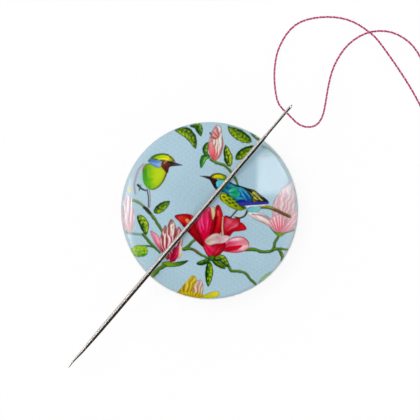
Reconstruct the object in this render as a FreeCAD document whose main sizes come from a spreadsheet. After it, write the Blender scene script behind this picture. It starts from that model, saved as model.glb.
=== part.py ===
import FreeCAD, Part
import math
import os
import Sketcher
from FreeCAD import Vector

# A magnetic needle minder with a threaded sewing needle on it, in millimetres.
# The minder is a covered button: a domed tin shell over which a printed paper disc and a clear film are
# drawn, closed by a pressed back plate.  One disc magnet is glued to the back plate.  A second, loose one
# is the keeper, which goes behind the cloth.  The minder lies on its keeper, crown up.
# The origin is the centre of the keeper's underside, and +Z points up.

document = FreeCAD.newDocument("NeedleMinder")

# ---------------------------------------------------------------------------------------------------
# Driving sizes.  Each has one cell, and everything below is worked out from them.

SIZES = [
    ("badge_diameter", 25.2),        # outside of the film
    ("side_height", 0.76),           # the straight part of the side, between the rim's and the lip's curves
    ("dome_radius", 36.0),           # outside of the film
    ("rim_radius", 1.0),             # where the dome turns down into the side
    ("lip_radius", 0.7),             # where the side turns in under the back
    ("lip_width", 1.6),              # how far the lip reaches in from the side
    ("film_thickness", 0.1),
    ("paper_thickness", 0.12),
    ("shell_thickness", 0.25),
    ("plate_thickness", 0.25),
    ("plate_fit", 0.05),             # between the plate's collar and the shell's wall
    ("bend_inside", 0.1),            # inside radius of the bend up into the collar
    ("bead_radius", 8.7),            # middle of the ring pressed into the plate to stiffen it
    ("bead_width", 1.6),
    ("bead_height", 0.45),
    ("magnet_diameter", 12.0),
    ("magnet_thickness", 2.0),
    ("keeper_diameter", 12.0),
    ("keeper_thickness", 2.0),
    ("magnet_edge", 0.2),            # rounding of the plated edges
    ("glue_thickness", 0.1),
    ("glue_squeeze", 0.5),           # ring of glue pressed out round the magnet
    ("needle_length", 48.5),
    ("needle_diameter", 0.69),
    ("point_length", 9.0),
    ("point_blunt", 0.06),           # radius left at the very point
    ("head_height", 0.85),           # the flattened head, across the eye
    ("head_thickness", 0.43),
    ("head_length", 8.5),            # from the head's end to where the flats run out
    ("head_swell", 2.0),             # length over which the wire swells to the head
    ("head_round", 0.5),             # length of the rounded end
    ("head_roundness", 1.1),         # radius of that rounding, against its length
    ("head_taper", 3.0),             # how many times lower the very end is than the head
    ("flat_round", 1.0),             # length over which the flats close in at the end
    ("flat_thinning", 0.1),          # and by how much
    ("eye_width", 0.47),
    ("eye_length", 3.3),
    ("eye_from_end", 1.1),
    ("eye_play", 0.05),              # between the thread and the end of the eye that it is drawn up to
    ("needle_reach", 18.8),          # along the needle, from its nearest point to the axis to its head
    ("needle_offset", 0.8),          # how far beside the badge's axis the needle passes
    ("needle_angle", 49.6),          # degrees from +X to the head
    ("needle_clearance", 0.05),      # between the needle and the dome
    ("thread_diameter", 0.32),
    ("thread_lay", 0.01),            # under a thread that lies on the table
    ("coil_diameter", 3.8),          # middle of the turns
    ("coil_across", 6.0),            # turns side by side
    ("coil_layers", 5.0),
    ("coil_pitch", 0.34),            # from one turn to the next
    ("coil_run_in", 1.05),           # from where the thread meets the coil to where it is tangent to it
]

sheet = document.addObject("Spreadsheet::Sheet", "Sizes")
for row, (alias, size) in enumerate(SIZES, start=1):
    sheet.set(f"A{row}", alias)
    sheet.set(f"B{row}", str(size))
    sheet.setAlias(f"B{row}", alias)
document.recompute()


def number(expression):
    """The present value of an expression on the sheet."""
    return float(sheet.evalExpression(expression))


# Heights and radii that more than one piece uses.
PLATE_BOTTOM = "(Sizes.keeper_thickness + Sizes.magnet_thickness + Sizes.glue_thickness)"
LAYERS = "(Sizes.film_thickness + Sizes.paper_thickness + Sizes.shell_thickness)"
RIM_BOTTOM = f"({PLATE_BOTTOM} - {LAYERS})"
BADGE_RADIUS = "(Sizes.badge_diameter / 2)"
LIP_CENTRE = f"({RIM_BOTTOM} + Sizes.lip_radius)"
RIM_CENTRE = f"({LIP_CENTRE} + Sizes.side_height)"
RIM_REACH = f"({BADGE_RADIUS} - Sizes.rim_radius)"
RIM_ARM = "(Sizes.dome_radius - Sizes.rim_radius)"
RIM_RISE = f"sqrt({RIM_ARM}^2 - {RIM_REACH}^2)"
DOME_CENTRE = f"({RIM_CENTRE} - {RIM_RISE})"
CROWN = f"({DOME_CENTRE} + Sizes.dome_radius)"
NEEDLE_RADIUS = "(Sizes.needle_diameter / 2)"
NEEDLE_HEIGHT = (f"({DOME_CENTRE} + sqrt((Sizes.dome_radius + {NEEDLE_RADIUS} + Sizes.needle_clearance)^2"
                 " - Sizes.needle_offset^2))")


# ---------------------------------------------------------------------------------------------------
# Sketch tools.

def origin_plane(body, role):
    return next(feature for feature in body.Origin.OriginFeatures if feature.Role == role)


def new_sketch(body, name, role):
    sketch = body.newObject("Sketcher::SketchObject", name)
    sketch.AttachmentSupport = (origin_plane(body, role), [""])
    sketch.MapMode = "FlatFace"
    return sketch


def bind(sketch, kind, references, expression):
    """Add one dimension whose value follows the sheet."""
    index = sketch.addConstraint(Sketcher.Constraint(kind, *references, number(expression)))
    sketch.setExpression(f"Constraints[{index}]", expression)


def arc_between(start, end, radius, side):
    """The short arc from start to end, with its centre on the left (side 1) or the right (side -1)."""
    chord = end - start
    across = Vector(-chord.y, chord.x, 0).normalize()
    rise = math.sqrt(max(radius ** 2 - (chord.Length / 2) ** 2, 0))
    centre = start + chord * 0.5 + across * (rise * side)
    first, last = (start, end) if side > 0 else (end, start)
    angles = [math.atan2(point.y - centre.y, point.x - centre.x) for point in (first, last)]
    return Part.ArcOfCircle(Part.Circle(centre, Vector(0, 0, 1), radius), *angles)


def outline(sketch, corners, arcs=None):
    """Draw a closed outline whose corners are pairs of expressions.

    arcs maps the number of an edge to its radius, as an expression, and the side of its centre.
    """
    arcs = arcs or {}
    points = [Vector(number(x), number(y), 0) for x, y in corners]
    count = len(points)
    for index, start in enumerate(points):
        end = points[(index + 1) % count]
        if index in arcs:
            radius, side = arcs[index]
            sketch.addGeometry(arc_between(start, end, number(radius), side), False)
        else:
            sketch.addGeometry(Part.LineSegment(start, end), False)

    def place(index, at_end):
        """Which end of an edge is its start or its end along the outline."""
        turned = index in arcs and arcs[index][1] < 0
        return 2 if at_end != turned else 1

    for index, (x, y) in enumerate(corners):
        before = (index - 1) % count
        sketch.addConstraint(Sketcher.Constraint("Coincident", before, place(before, True),
                                                 index, place(index, False)))
        here = (index, place(index, False))
        if x == "0":
            sketch.addConstraint(Sketcher.Constraint("PointOnObject", *here, -2))
        else:
            bind(sketch, "DistanceX", (-1, 1, *here), x)
        if y == "0":
            sketch.addConstraint(Sketcher.Constraint("PointOnObject", *here, -1))
        else:
            bind(sketch, "DistanceY", (-1, 1, *here), y)
    for index, (radius, _) in arcs.items():
        bind(sketch, "Radius", (index,), radius)


def new_body(name):
    body = document.addObject("PartDesign::Body", name)
    body.Label = name
    return body


def turned_piece(name, corners, arcs=None):
    """A body turned about Z from its half section in the XZ plane."""
    body = new_body(name)
    sketch = new_sketch(body, f"{name}_section", "XZ_Plane")
    outline(sketch, corners, arcs)
    turning = body.newObject("PartDesign::Revolution", f"{name}_turning")
    turning.Profile = sketch
    turning.ReferenceAxis = (sketch, ["V_Axis"])
    turning.Angle = 360
    return body


# ---------------------------------------------------------------------------------------------------
# Magnets: plated discs with rounded edges.

def disc_magnet(name, diameter, thickness, height):
    body = new_body(name)
    sketch = new_sketch(body, f"{name}_face", "XY_Plane")
    sketch.addGeometry(Part.Circle(Vector(0, 0, 0), Vector(0, 0, 1), number(diameter) / 2), False)
    sketch.addConstraint(Sketcher.Constraint("Coincident", 0, 3, -1, 1))
    bind(sketch, "Diameter", (0,), diameter)
    pad = body.newObject("PartDesign::Pad", f"{name}_pad")
    pad.Profile = sketch
    pad.setExpression("Length", thickness)
    document.recompute()
    rounding = body.newObject("PartDesign::Fillet", f"{name}_rounding")
    circles = [f"Edge{index}" for index, edge in enumerate(pad.Shape.Edges, start=1)
               if isinstance(edge.Curve, Part.Circle)]
    rounding.Base = (pad, circles)
    rounding.setExpression("Radius", "Sizes.magnet_edge")
    body.setExpression("Placement.Base.z", height)
    return body


keeper_magnet = disc_magnet("keeper_magnet", "Sizes.keeper_diameter", "Sizes.keeper_thickness", "0")
fixed_magnet = disc_magnet("fixed_magnet", "Sizes.magnet_diameter", "Sizes.magnet_thickness",
                           "Sizes.keeper_thickness")

# Glue: a thin layer over the magnet and the ring that is pressed out round it.
MAGNET_TOP = "(Sizes.keeper_thickness + Sizes.magnet_thickness)"
MAGNET_RADIUS = "(Sizes.magnet_diameter / 2)"
glue = turned_piece("magnet_glue", [
    ("0", MAGNET_TOP),
    (MAGNET_RADIUS, MAGNET_TOP),
    (MAGNET_RADIUS, f"({MAGNET_TOP} - Sizes.glue_squeeze)"),
    (f"({MAGNET_RADIUS} + Sizes.glue_squeeze)", PLATE_BOTTOM),
    ("0", PLATE_BOTTOM)])

# ---------------------------------------------------------------------------------------------------
# Back plate: pressed tin, flat, with a stiffening ring and an edge turned up inside the shell as far as
# the wall is straight.
PLATE_RADIUS = f"({BADGE_RADIUS} - {LAYERS} - Sizes.plate_fit)"
PLATE_TOP = f"({PLATE_BOTTOM} + Sizes.plate_thickness)"
COLLAR_TOP = f"({RIM_CENTRE} - Sizes.plate_fit)"
COLLAR_BEND = "(Sizes.plate_thickness + Sizes.bend_inside)"
BEAD_FOOT = "(Sizes.bead_width / 2)"
BEAD_TOP = "(Sizes.bead_width / 4)"
back_plate = turned_piece("back_plate", [
    ("0", PLATE_BOTTOM),
    (f"(Sizes.bead_radius - {BEAD_FOOT})", PLATE_BOTTOM),
    (f"(Sizes.bead_radius - {BEAD_TOP})", f"({PLATE_BOTTOM} + Sizes.bead_height)"),
    (f"(Sizes.bead_radius + {BEAD_TOP})", f"({PLATE_BOTTOM} + Sizes.bead_height)"),
    (f"(Sizes.bead_radius + {BEAD_FOOT})", PLATE_BOTTOM),
    (f"({PLATE_RADIUS} - {COLLAR_BEND})", PLATE_BOTTOM),
    (PLATE_RADIUS, f"({PLATE_BOTTOM} + {COLLAR_BEND})"),
    (PLATE_RADIUS, COLLAR_TOP),
    (f"({PLATE_RADIUS} - Sizes.plate_thickness)", COLLAR_TOP),
    (f"({PLATE_RADIUS} - Sizes.plate_thickness)", f"({PLATE_BOTTOM} + {COLLAR_BEND})"),
    (f"({PLATE_RADIUS} - {COLLAR_BEND})", PLATE_TOP),
    (f"(Sizes.bead_radius + {BEAD_FOOT})", PLATE_TOP),
    (f"(Sizes.bead_radius + {BEAD_TOP})", f"({PLATE_TOP} + Sizes.bead_height)"),
    (f"(Sizes.bead_radius - {BEAD_TOP})", f"({PLATE_TOP} + Sizes.bead_height)"),
    (f"(Sizes.bead_radius - {BEAD_FOOT})", PLATE_TOP),
    ("0", PLATE_TOP)],
    arcs={5: (COLLAR_BEND, 1), 9: (f"({COLLAR_BEND} - Sizes.plate_thickness)", -1)})

# ---------------------------------------------------------------------------------------------------
# The three layers of the front.  They lie in each other, so they share the centres of their curves, and
# each is told how deep its outer and its inner face lie below the outside of the film.
LIP_REACH = f"({BADGE_RADIUS} - Sizes.lip_radius)"
LIP_END = f"({BADGE_RADIUS} - Sizes.lip_width)"


def formed_layer(name, outer, inner, wraps):
    """A layer drawn over the dome, down the side and in under the back.

    A layer that wraps also turns up round the shell's edge, to the back plate, which traps it there.
    """
    def shoulder(depth):
        share = f"(Sizes.dome_radius - {depth}) / {RIM_ARM}"
        return f"({RIM_REACH} * {share})", f"({DOME_CENTRE} + {RIM_RISE} * {share})"

    def face(depth):
        return [
            ("0", f"({CROWN} - {depth})"),
            shoulder(depth),
            (f"({BADGE_RADIUS} - {depth})", RIM_CENTRE),
            (f"({BADGE_RADIUS} - {depth})", LIP_CENTRE),
            (LIP_REACH, f"({RIM_BOTTOM} + {depth})")]

    edge = [(f"({LIP_END} + {outer})", f"({RIM_BOTTOM} + {outer})"),
            (f"({LIP_END} + {outer})", PLATE_BOTTOM)]
    if wraps:
        edge += [(f"({LIP_END} + {inner})", PLATE_BOTTOM),
                 (f"({LIP_END} + {inner})", f"({RIM_BOTTOM} + {inner})")]
    corners = face(outer) + edge + face(inner)[::-1]
    inside = 5 + len(edge)
    arcs = {
        0: (f"(Sizes.dome_radius - {outer})", -1),
        1: (f"(Sizes.rim_radius - {outer})", -1),
        3: (f"(Sizes.lip_radius - {outer})", -1),
        inside: (f"(Sizes.lip_radius - {inner})", 1),
        inside + 2: (f"(Sizes.rim_radius - {inner})", 1),
        inside + 3: (f"(Sizes.dome_radius - {inner})", 1)}
    return turned_piece(name, corners, arcs)


UNDER_FILM = "Sizes.film_thickness"
UNDER_PAPER = "(Sizes.film_thickness + Sizes.paper_thickness)"
clear_film = formed_layer("clear_film", "0", UNDER_FILM, True)
printed_paper = formed_layer("printed_paper", UNDER_FILM, UNDER_PAPER, True)
front_shell = formed_layer("front_shell", UNDER_PAPER, LAYERS, False)

# ---------------------------------------------------------------------------------------------------
# Needle: drawn steel wire, ground to a point, with a flattened head and an eye through the flats.
# It is drawn along X from its point, then laid across the crown.
HEAD_RADIUS = "(Sizes.head_height / 2)"
HEAD_FLAT = "(Sizes.head_thickness / 2)"
needle = new_body("needle")
wire = new_sketch(needle, "needle_profile", "XY_Plane")
HEAD_FULL = "(Sizes.needle_length - Sizes.eye_from_end - Sizes.eye_length)"
POINT_DROP = f"({NEEDLE_RADIUS} - Sizes.point_blunt)"
outline(wire, [
    ("0", "0"),
    ("(Sizes.point_blunt / 2)", "Sizes.point_blunt"),
    ("Sizes.point_length", NEEDLE_RADIUS),
    (f"({HEAD_FULL} - Sizes.head_swell)", NEEDLE_RADIUS),
    (HEAD_FULL, HEAD_RADIUS),
    ("(Sizes.needle_length - Sizes.head_round)", HEAD_RADIUS),
    ("Sizes.needle_length", f"({HEAD_RADIUS} / Sizes.head_taper)"),
    ("Sizes.needle_length", "0")],
    arcs={1: (f"((Sizes.point_length^2 + {POINT_DROP}^2) / (2 * {POINT_DROP}))", -1),
          5: ("(Sizes.head_round * Sizes.head_roundness)", -1)})
wire_turning = needle.newObject("PartDesign::Revolution", "needle_turning")
wire_turning.Profile = wire
wire_turning.ReferenceAxis = (wire, ["H_Axis"])
wire_turning.Angle = 360

flats = new_sketch(needle, "needle_flats", "XY_Plane")
FLAT_FROM = "(Sizes.needle_length - Sizes.head_length)"
FLAT_RUN = f"({HEAD_FULL} - {FLAT_FROM})"
FLAT_DROP = f"({NEEDLE_RADIUS} - {HEAD_FLAT})"
FLAT_END = f"({HEAD_FLAT} - Sizes.flat_thinning)"
PAST_HEAD = "(Sizes.needle_length + Sizes.head_round)"
outline(flats, [
    (FLAT_FROM, NEEDLE_RADIUS),
    (HEAD_FULL, HEAD_FLAT),
    ("(Sizes.needle_length - Sizes.flat_round)", HEAD_FLAT),
    ("Sizes.needle_length", FLAT_END),
    (PAST_HEAD, FLAT_END),
    (PAST_HEAD, "Sizes.head_height"),
    (FLAT_FROM, "Sizes.head_height")],
    arcs={0: (f"(({FLAT_RUN}^2 + {FLAT_DROP}^2) / (2 * {FLAT_DROP}))", 1),
          2: ("((Sizes.flat_round^2 + Sizes.flat_thinning^2) / (2 * Sizes.flat_thinning))", -1)})
pressing = needle.newObject("PartDesign::Pocket", "needle_pressing")
pressing.Profile = flats
pressing.Type = "ThroughAll"
pressing.Midplane = True
document.recompute()
both_flats = needle.newObject("PartDesign::Mirrored", "needle_both_flats")
both_flats.Originals = [pressing]
both_flats.MirrorPlane = (origin_plane(needle, "XZ_Plane"), [""])
needle.Tip = both_flats
document.recompute()

eye = new_sketch(needle, "needle_eye", "XZ_Plane")
EYE_RADIUS = "(Sizes.eye_width / 2)"
EYE_FAR = "(Sizes.needle_length - Sizes.eye_from_end)"
EYE_NEAR = f"({EYE_FAR} - Sizes.eye_length)"
outline(eye, [
    (f"({EYE_NEAR} + {EYE_RADIUS})", f"(-1 * {EYE_RADIUS})"),
    (f"({EYE_FAR} - {EYE_RADIUS})", f"(-1 * {EYE_RADIUS})"),
    (EYE_FAR, "0"),
    (f"({EYE_FAR} - {EYE_RADIUS})", EYE_RADIUS),
    (f"({EYE_NEAR} + {EYE_RADIUS})", EYE_RADIUS),
    (EYE_NEAR, "0")],
    arcs={1: (EYE_RADIUS, 1), 2: (EYE_RADIUS, 1), 4: (EYE_RADIUS, 1), 5: (EYE_RADIUS, 1)})
piercing = needle.newObject("PartDesign::Pocket", "needle_piercing")
piercing.Profile = eye
piercing.Type = "ThroughAll"
piercing.Midplane = True

POINT_REACH = "(Sizes.needle_length - Sizes.needle_reach)"
ALONG = ("cos(Sizes.needle_angle * 1deg)", "sin(Sizes.needle_angle * 1deg)")
FOOT = (f"(-1 * Sizes.needle_offset * {ALONG[1]})", f"(Sizes.needle_offset * {ALONG[0]})")
needle.setExpression("Placement.Base.x", f"{FOOT[0]} - {POINT_REACH} * {ALONG[0]}")
needle.setExpression("Placement.Base.y", f"{FOOT[1]} - {POINT_REACH} * {ALONG[1]}")
needle.setExpression("Placement.Base.z", NEEDLE_HEIGHT)
needle.Placement.Rotation.Axis = Vector(0, 0, 1)
needle.setExpression("Placement.Rotation.Angle", "Sizes.needle_angle * 1deg")

# ---------------------------------------------------------------------------------------------------
# Thread: one length through the eye, drawn up to its head end.  The long side and the tail each have a
# route from the eye, over the drop to the table, and along it.  A point is given from the eye in X and Y,
# and by how much of the way up to the eye it is: 1 at the eye, 0 lying on the table.
thread_diameter = number("Sizes.thread_diameter")
lying_height = thread_diameter / 2 + number("Sizes.thread_lay")
eye_reach = number("Sizes.needle_reach - Sizes.eye_from_end - Sizes.thread_diameter / 2 - Sizes.eye_play")
eye_point = Vector(number(FOOT[0]) + eye_reach * number(ALONG[0]),
                   number(FOOT[1]) + eye_reach * number(ALONG[1]),
                   number(NEEDLE_HEIGHT))

LONG_ROUTE = [
    (0, 0, 1), (-0.8, 0.68, 0.99), (-1.35, 2.11, 0.885), (-1.62, 5.11, 0.54), (-1.3, 7.91, 0.2),
    (-0.74, 9.61, 0.07), (0.3, 11.45, 0), (1.7, 12.82, 0), (3.66, 13.55, 0), (6.31, 13.8, 0),
    (8.56, 13.5, 0), (10.2, 12.81, 0.055), (11.4, 12.0, 0.11), (12.76, 10.95, 0.11),
    (13.86, 9.61, 0.055), (15.96, 6.71, 0), (17.96, 3.61, 0), (19.26, 1.21, 0), (20.56, -1.29, 0),
    (21.13, -2.2, 0)]

TAIL_ROUTE = [
    (0, 0, 1), (0.72, -0.62, 0.99), (1.86, -1.64, 0.94), (3.16, -2.04, 0.83), (4.46, -1.74, 0.69),
    (5.31, -0.59, 0.55), (5.76, 1.51, 0.35), (6.16, 3.91, 0.17), (6.86, 6.61, 0.05), (8.46, 9.3, 0),
    (10.16, 10.75, 0), (11.96, 11.6, 0), (13.96, 11.8, 0), (15.7, 11.45, 0), (17.5, 10.4, 0),
    (18.7, 9.1, 0), (19.6, 7.45, 0), (20.66, 5.71, 0), (22.36, 4.71, 0), (24.36, 5.01, 0),
    (25.66, 6.41, 0)]


def route_points(route):
    drop = eye_point.z - lying_height
    return [Vector(eye_point.x + x, eye_point.y + y, lying_height + share * drop) for x, y, share in route]


def tangent_path(points):
    """Straight runs joined by tangent arcs, each as large as its two runs allow, and the arcs' radii."""
    edges, radii = [], []
    start = points[0]
    for before, corner, after in zip(points, points[1:], points[2:]):
        back, ahead = before - corner, after - corner
        half_turn = (math.pi - back.getAngle(ahead)) / 2
        reach = 0.45 * min(back.Length, ahead.Length)
        radii.append(reach / math.tan(half_turn))
        back.normalize()
        ahead.normalize()
        enter, leave = corner + back * reach, corner + ahead * reach
        bisector = (back + ahead).normalize()
        centre_gap = radii[-1] / math.cos(half_turn)
        middle = corner + bisector * (centre_gap - radii[-1])
        edges.append(Part.LineSegment(start, enter).toShape())
        edges.append(Part.Arc(enter, middle, leave).toShape())
        start = leave
    edges.append(Part.LineSegment(start, points[-1]).toShape())
    return Part.Wire(edges), radii


def thread_tube(name, route):
    points = route_points(route)
    path, radii = tangent_path(points)
    heading = (points[1] - points[0]).normalize()
    section = Part.Wire(Part.Circle(points[0], heading, thread_diameter / 2).toShape())
    tube = path.makePipeShell([section], True, True)
    expected = path.Length * math.pi * thread_diameter ** 2 / 4
    print(f"{name}: {path.Length:.1f} mm long, smallest radius {min(radii):.2f} mm, "
          f"volume {tube.Volume / expected:.4f} of section times length")
    print("   radii " + " ".join(f"{radius:.1f}" for radius in radii))
    feature = document.addObject("Part::Feature", name)
    feature.Label = name
    feature.Shape = tube
    return feature


thread_long = thread_tube("thread_long", LONG_ROUTE)
thread_tail = thread_tube("thread_tail", TAIL_ROUTE)

# The rest of the long side, wound up beside it: the coil's outer form, as one closed ring.
COIL_HALF = "(((Sizes.coil_across - 1) * Sizes.coil_pitch + Sizes.thread_diameter) / 2)"
COIL_TOP = "(((Sizes.coil_layers - 1) * Sizes.coil_pitch + Sizes.thread_diameter) + Sizes.thread_lay)"
thread_coil = turned_piece("thread_coil", [
    (f"(Sizes.coil_diameter / 2 - {COIL_HALF})", "Sizes.thread_lay"),
    (f"(Sizes.coil_diameter / 2 + {COIL_HALF})", "Sizes.thread_lay"),
    (f"(Sizes.coil_diameter / 2 + {COIL_HALF})", COIL_TOP),
    (f"(Sizes.coil_diameter / 2 - {COIL_HALF})", COIL_TOP)])
long_points = route_points(LONG_ROUTE)
arrival = (long_points[-1] - long_points[-2]).normalize()
outer_turn = number(f"(Sizes.coil_diameter / 2 + {COIL_HALF} - Sizes.thread_diameter / 2)")
coil_centre = (long_points[-1] + arrival * number("Sizes.coil_run_in")
               + Vector(-arrival.y, arrival.x, 0) * outer_turn)
thread_coil.Placement.Base = Vector(coil_centre.x, coil_centre.y, 0)

# ---------------------------------------------------------------------------------------------------
# Check everything, then write one file for each piece.
document.recompute()
for item in document.Objects:
    if "Invalid" in item.State or "Error" in item.State:
        raise RuntimeError(f"{item.Name} failed: {item.State}")

PIECES = [keeper_magnet, fixed_magnet, glue, back_plate, front_shell, printed_paper, clear_film, needle,
          thread_long, thread_tail, thread_coil]
for piece in PIECES:
    if piece.Shape.isNull() or not piece.Shape.isValid() or len(piece.Shape.Solids) != 1:
        raise RuntimeError(f"{piece.Label} is not one valid solid")

os.makedirs("parts", exist_ok=True)
for piece in PIECES:
    piece.Shape.exportStep(f"parts/{piece.Label}.step")
    box = piece.Shape.BoundBox
    print(f"{piece.Label}: {piece.Shape.Volume:.3f} mm3, "
          f"X {box.XMin:.2f} to {box.XMax:.2f}, Y {box.YMin:.2f} to {box.YMax:.2f}, "
          f"Z {box.ZMin:.2f} to {box.ZMax:.2f}")
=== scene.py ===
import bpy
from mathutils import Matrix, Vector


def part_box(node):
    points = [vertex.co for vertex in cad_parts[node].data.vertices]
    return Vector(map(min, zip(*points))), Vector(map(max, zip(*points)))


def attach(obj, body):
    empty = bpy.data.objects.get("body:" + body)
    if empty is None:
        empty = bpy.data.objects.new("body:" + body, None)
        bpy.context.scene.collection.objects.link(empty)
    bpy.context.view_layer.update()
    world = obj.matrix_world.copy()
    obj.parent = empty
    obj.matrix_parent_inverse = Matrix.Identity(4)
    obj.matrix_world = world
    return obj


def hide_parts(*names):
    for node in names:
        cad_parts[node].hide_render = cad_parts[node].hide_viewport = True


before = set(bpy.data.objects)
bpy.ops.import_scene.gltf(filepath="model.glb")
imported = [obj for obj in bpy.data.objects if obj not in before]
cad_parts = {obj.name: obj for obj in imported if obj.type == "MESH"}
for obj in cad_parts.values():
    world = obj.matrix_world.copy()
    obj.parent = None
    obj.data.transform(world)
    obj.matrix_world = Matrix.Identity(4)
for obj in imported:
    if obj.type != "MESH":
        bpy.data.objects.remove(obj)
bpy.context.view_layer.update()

import math

import bmesh
import bpy
import numpy as np
from mathutils import Vector

scene = bpy.context.scene
scene.view_settings.view_transform = "Standard"
mm = 0.001

# ===================================================================================================
# The two magnets: the keeper, which is loose, and the one glued behind the badge.
# Sintered neodymium discs with rounded edges, plated with bright nickel.  Being turned forms, they are
# made from half a section, as are the other round pieces.


def input_socket(tree, name, kind, value=None):
    """A named input of a node group, with the value it starts with."""
    socket = tree.interface.new_socket(name, in_out="INPUT", socket_type=kind)
    if value is not None:
        socket.default_value = value
    return socket


def linked(tree, kind, inputs=None, **settings):
    """Add a node; inputs are given by name or number, as a value or as the socket that feeds them."""
    node = tree.nodes.new(kind)
    for name, setting in settings.items():
        setattr(node, name, setting)
    for name, value in (inputs or {}).items():
        if isinstance(value, bpy.types.NodeSocket):
            tree.links.new(value, node.inputs[name])
        else:
            node.inputs[name].default_value = value
    return node


def new_geometry_tree(name):
    """An empty geometry tree, with its geometry input and output."""
    tree = bpy.data.node_groups.new(name, "GeometryNodeTree")
    tree.is_modifier = True
    tree.interface.new_socket("Geometry", in_out="INPUT", socket_type="NodeSocketGeometry")
    tree.interface.new_socket("Geometry", in_out="OUTPUT", socket_type="NodeSocketGeometry")
    return tree


def finish_tree(tree, geometry, material):
    """End a tree as every tree here ends: real geometry, with its material."""
    real = linked(tree, "GeometryNodeRealizeInstances", {"Geometry": geometry})
    painted = linked(tree, "GeometryNodeSetMaterial", {"Geometry": real.outputs[0], "Material": material})
    linked(tree, "NodeGroupOutput", {0: painted.outputs[0]})


def made_by_nodes(name, start, tree, **values):
    """Run a node tree on a starting mesh and keep its result as a plain mesh object."""
    carrier = bpy.data.objects.new(name, start)
    scene.collection.objects.link(carrier)
    modifier = carrier.modifiers.new("making", "NODES")
    modifier.node_group = tree
    for item in tree.interface.items_tree:
        key = item.name.lower().replace(" ", "_")
        if item.in_out == "INPUT" and key in values:
            modifier[item.identifier] = values[key]
    bpy.context.view_layer.update()
    evaluated = carrier.evaluated_get(bpy.context.evaluated_depsgraph_get())
    mesh = bpy.data.meshes.new_from_object(evaluated)
    bpy.data.objects.remove(carrier)
    piece = bpy.data.objects.new(name, mesh)
    scene.collection.objects.link(piece)
    mesh.name = name
    return piece


def facing_out(mesh):
    """Close the seams of a mesh and turn its faces outwards."""
    shape = bmesh.new()
    shape.from_mesh(mesh)
    bmesh.ops.remove_doubles(shape, verts=shape.verts, dist=1e-7)
    bmesh.ops.recalc_face_normals(shape, faces=shape.faces)
    shape.to_mesh(mesh)
    shape.free()


turning = new_geometry_tree("turn a section about Z")
input_socket(turning, "Turns", "NodeSocketInt", 96)
input_socket(turning, "Sharp Angle", "NodeSocketFloat", 0.6)
input_socket(turning, "Material", "NodeSocketMaterial")
given = turning.nodes.new("NodeGroupInput")
section_size = linked(turning, "GeometryNodeAttributeDomainSize", {"Geometry": given.outputs["Geometry"]})
rows_and_one = linked(turning, "ShaderNodeMath", {0: section_size.outputs["Point Count"], 1: 1.0},
                      operation="ADD")
turns_and_one = linked(turning, "ShaderNodeMath", {0: given.outputs["Turns"], 1: 1.0}, operation="ADD")
grid = linked(turning, "GeometryNodeMeshGrid", {"Vertices X": rows_and_one.outputs[0],
                                                "Vertices Y": turns_and_one.outputs[0]})
index = turning.nodes.new("GeometryNodeInputIndex")
row = linked(turning, "ShaderNodeMath", {0: index.outputs[0], 1: turns_and_one.outputs[0]},
             operation="DIVIDE")
row = linked(turning, "ShaderNodeMath", {0: row.outputs[0]}, operation="FLOOR")
row = linked(turning, "ShaderNodeMath", {0: row.outputs[0], 1: section_size.outputs["Point Count"]},
             operation="MODULO")
column = linked(turning, "ShaderNodeMath", {0: index.outputs[0], 1: turns_and_one.outputs[0]},
                operation="MODULO")
angle = linked(turning, "ShaderNodeMath", {0: column.outputs[0], 1: 2 * math.pi}, operation="MULTIPLY")
angle = linked(turning, "ShaderNodeMath", {0: angle.outputs[0], 1: given.outputs["Turns"]},
               operation="DIVIDE")
here = turning.nodes.new("GeometryNodeInputPosition")
sampled = linked(turning, "GeometryNodeSampleIndex",
                 {"Geometry": given.outputs["Geometry"], "Index": row.outputs[0]},
                 data_type="FLOAT_VECTOR", domain="POINT")
turning.links.new(here.outputs[0], sampled.inputs["Value"])
turned = linked(turning, "ShaderNodeVectorRotate",
                {"Vector": sampled.outputs[0], "Angle": angle.outputs[0]}, rotation_type="Z_AXIS")
shaped = linked(turning, "GeometryNodeSetPosition",
                {"Geometry": grid.outputs["Mesh"], "Position": turned.outputs[0]})
closed = linked(turning, "GeometryNodeMergeByDistance", {"Geometry": shaped.outputs[0], "Distance": 1e-7})
edge_angle = turning.nodes.new("GeometryNodeInputMeshEdgeAngle")
is_sharp = linked(turning, "FunctionNodeCompare",
                  {0: edge_angle.outputs["Unsigned Angle"], 1: given.outputs["Sharp Angle"]},
                  data_type="FLOAT", operation="LESS_THAN")
smooth = linked(turning, "GeometryNodeSetShadeSmooth",
                {"Geometry": closed.outputs[0], "Shade Smooth": is_sharp.outputs[0]}, domain="EDGE")
finish_tree(turning, smooth.outputs[0], given.outputs["Material"])


def arc(centre, radius, start, end, steps):
    """Points of an arc in a section, from one angle to the other, in degrees."""
    angles = np.radians(np.linspace(start, end, steps + 1))
    return [(centre[0] + radius * math.cos(a), centre[1] + radius * math.sin(a)) for a in angles]


def turned_piece(name, section, material, turns=96):
    """A piece turned about Z from the closed outline of half its section."""
    outline = bpy.data.meshes.new(name)
    outline.from_pydata([(r, 0, z) for r, z in section], [], [])
    piece = made_by_nodes(name, outline, turning, turns=turns, material=material)
    facing_out(piece.data)
    return piece


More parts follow.
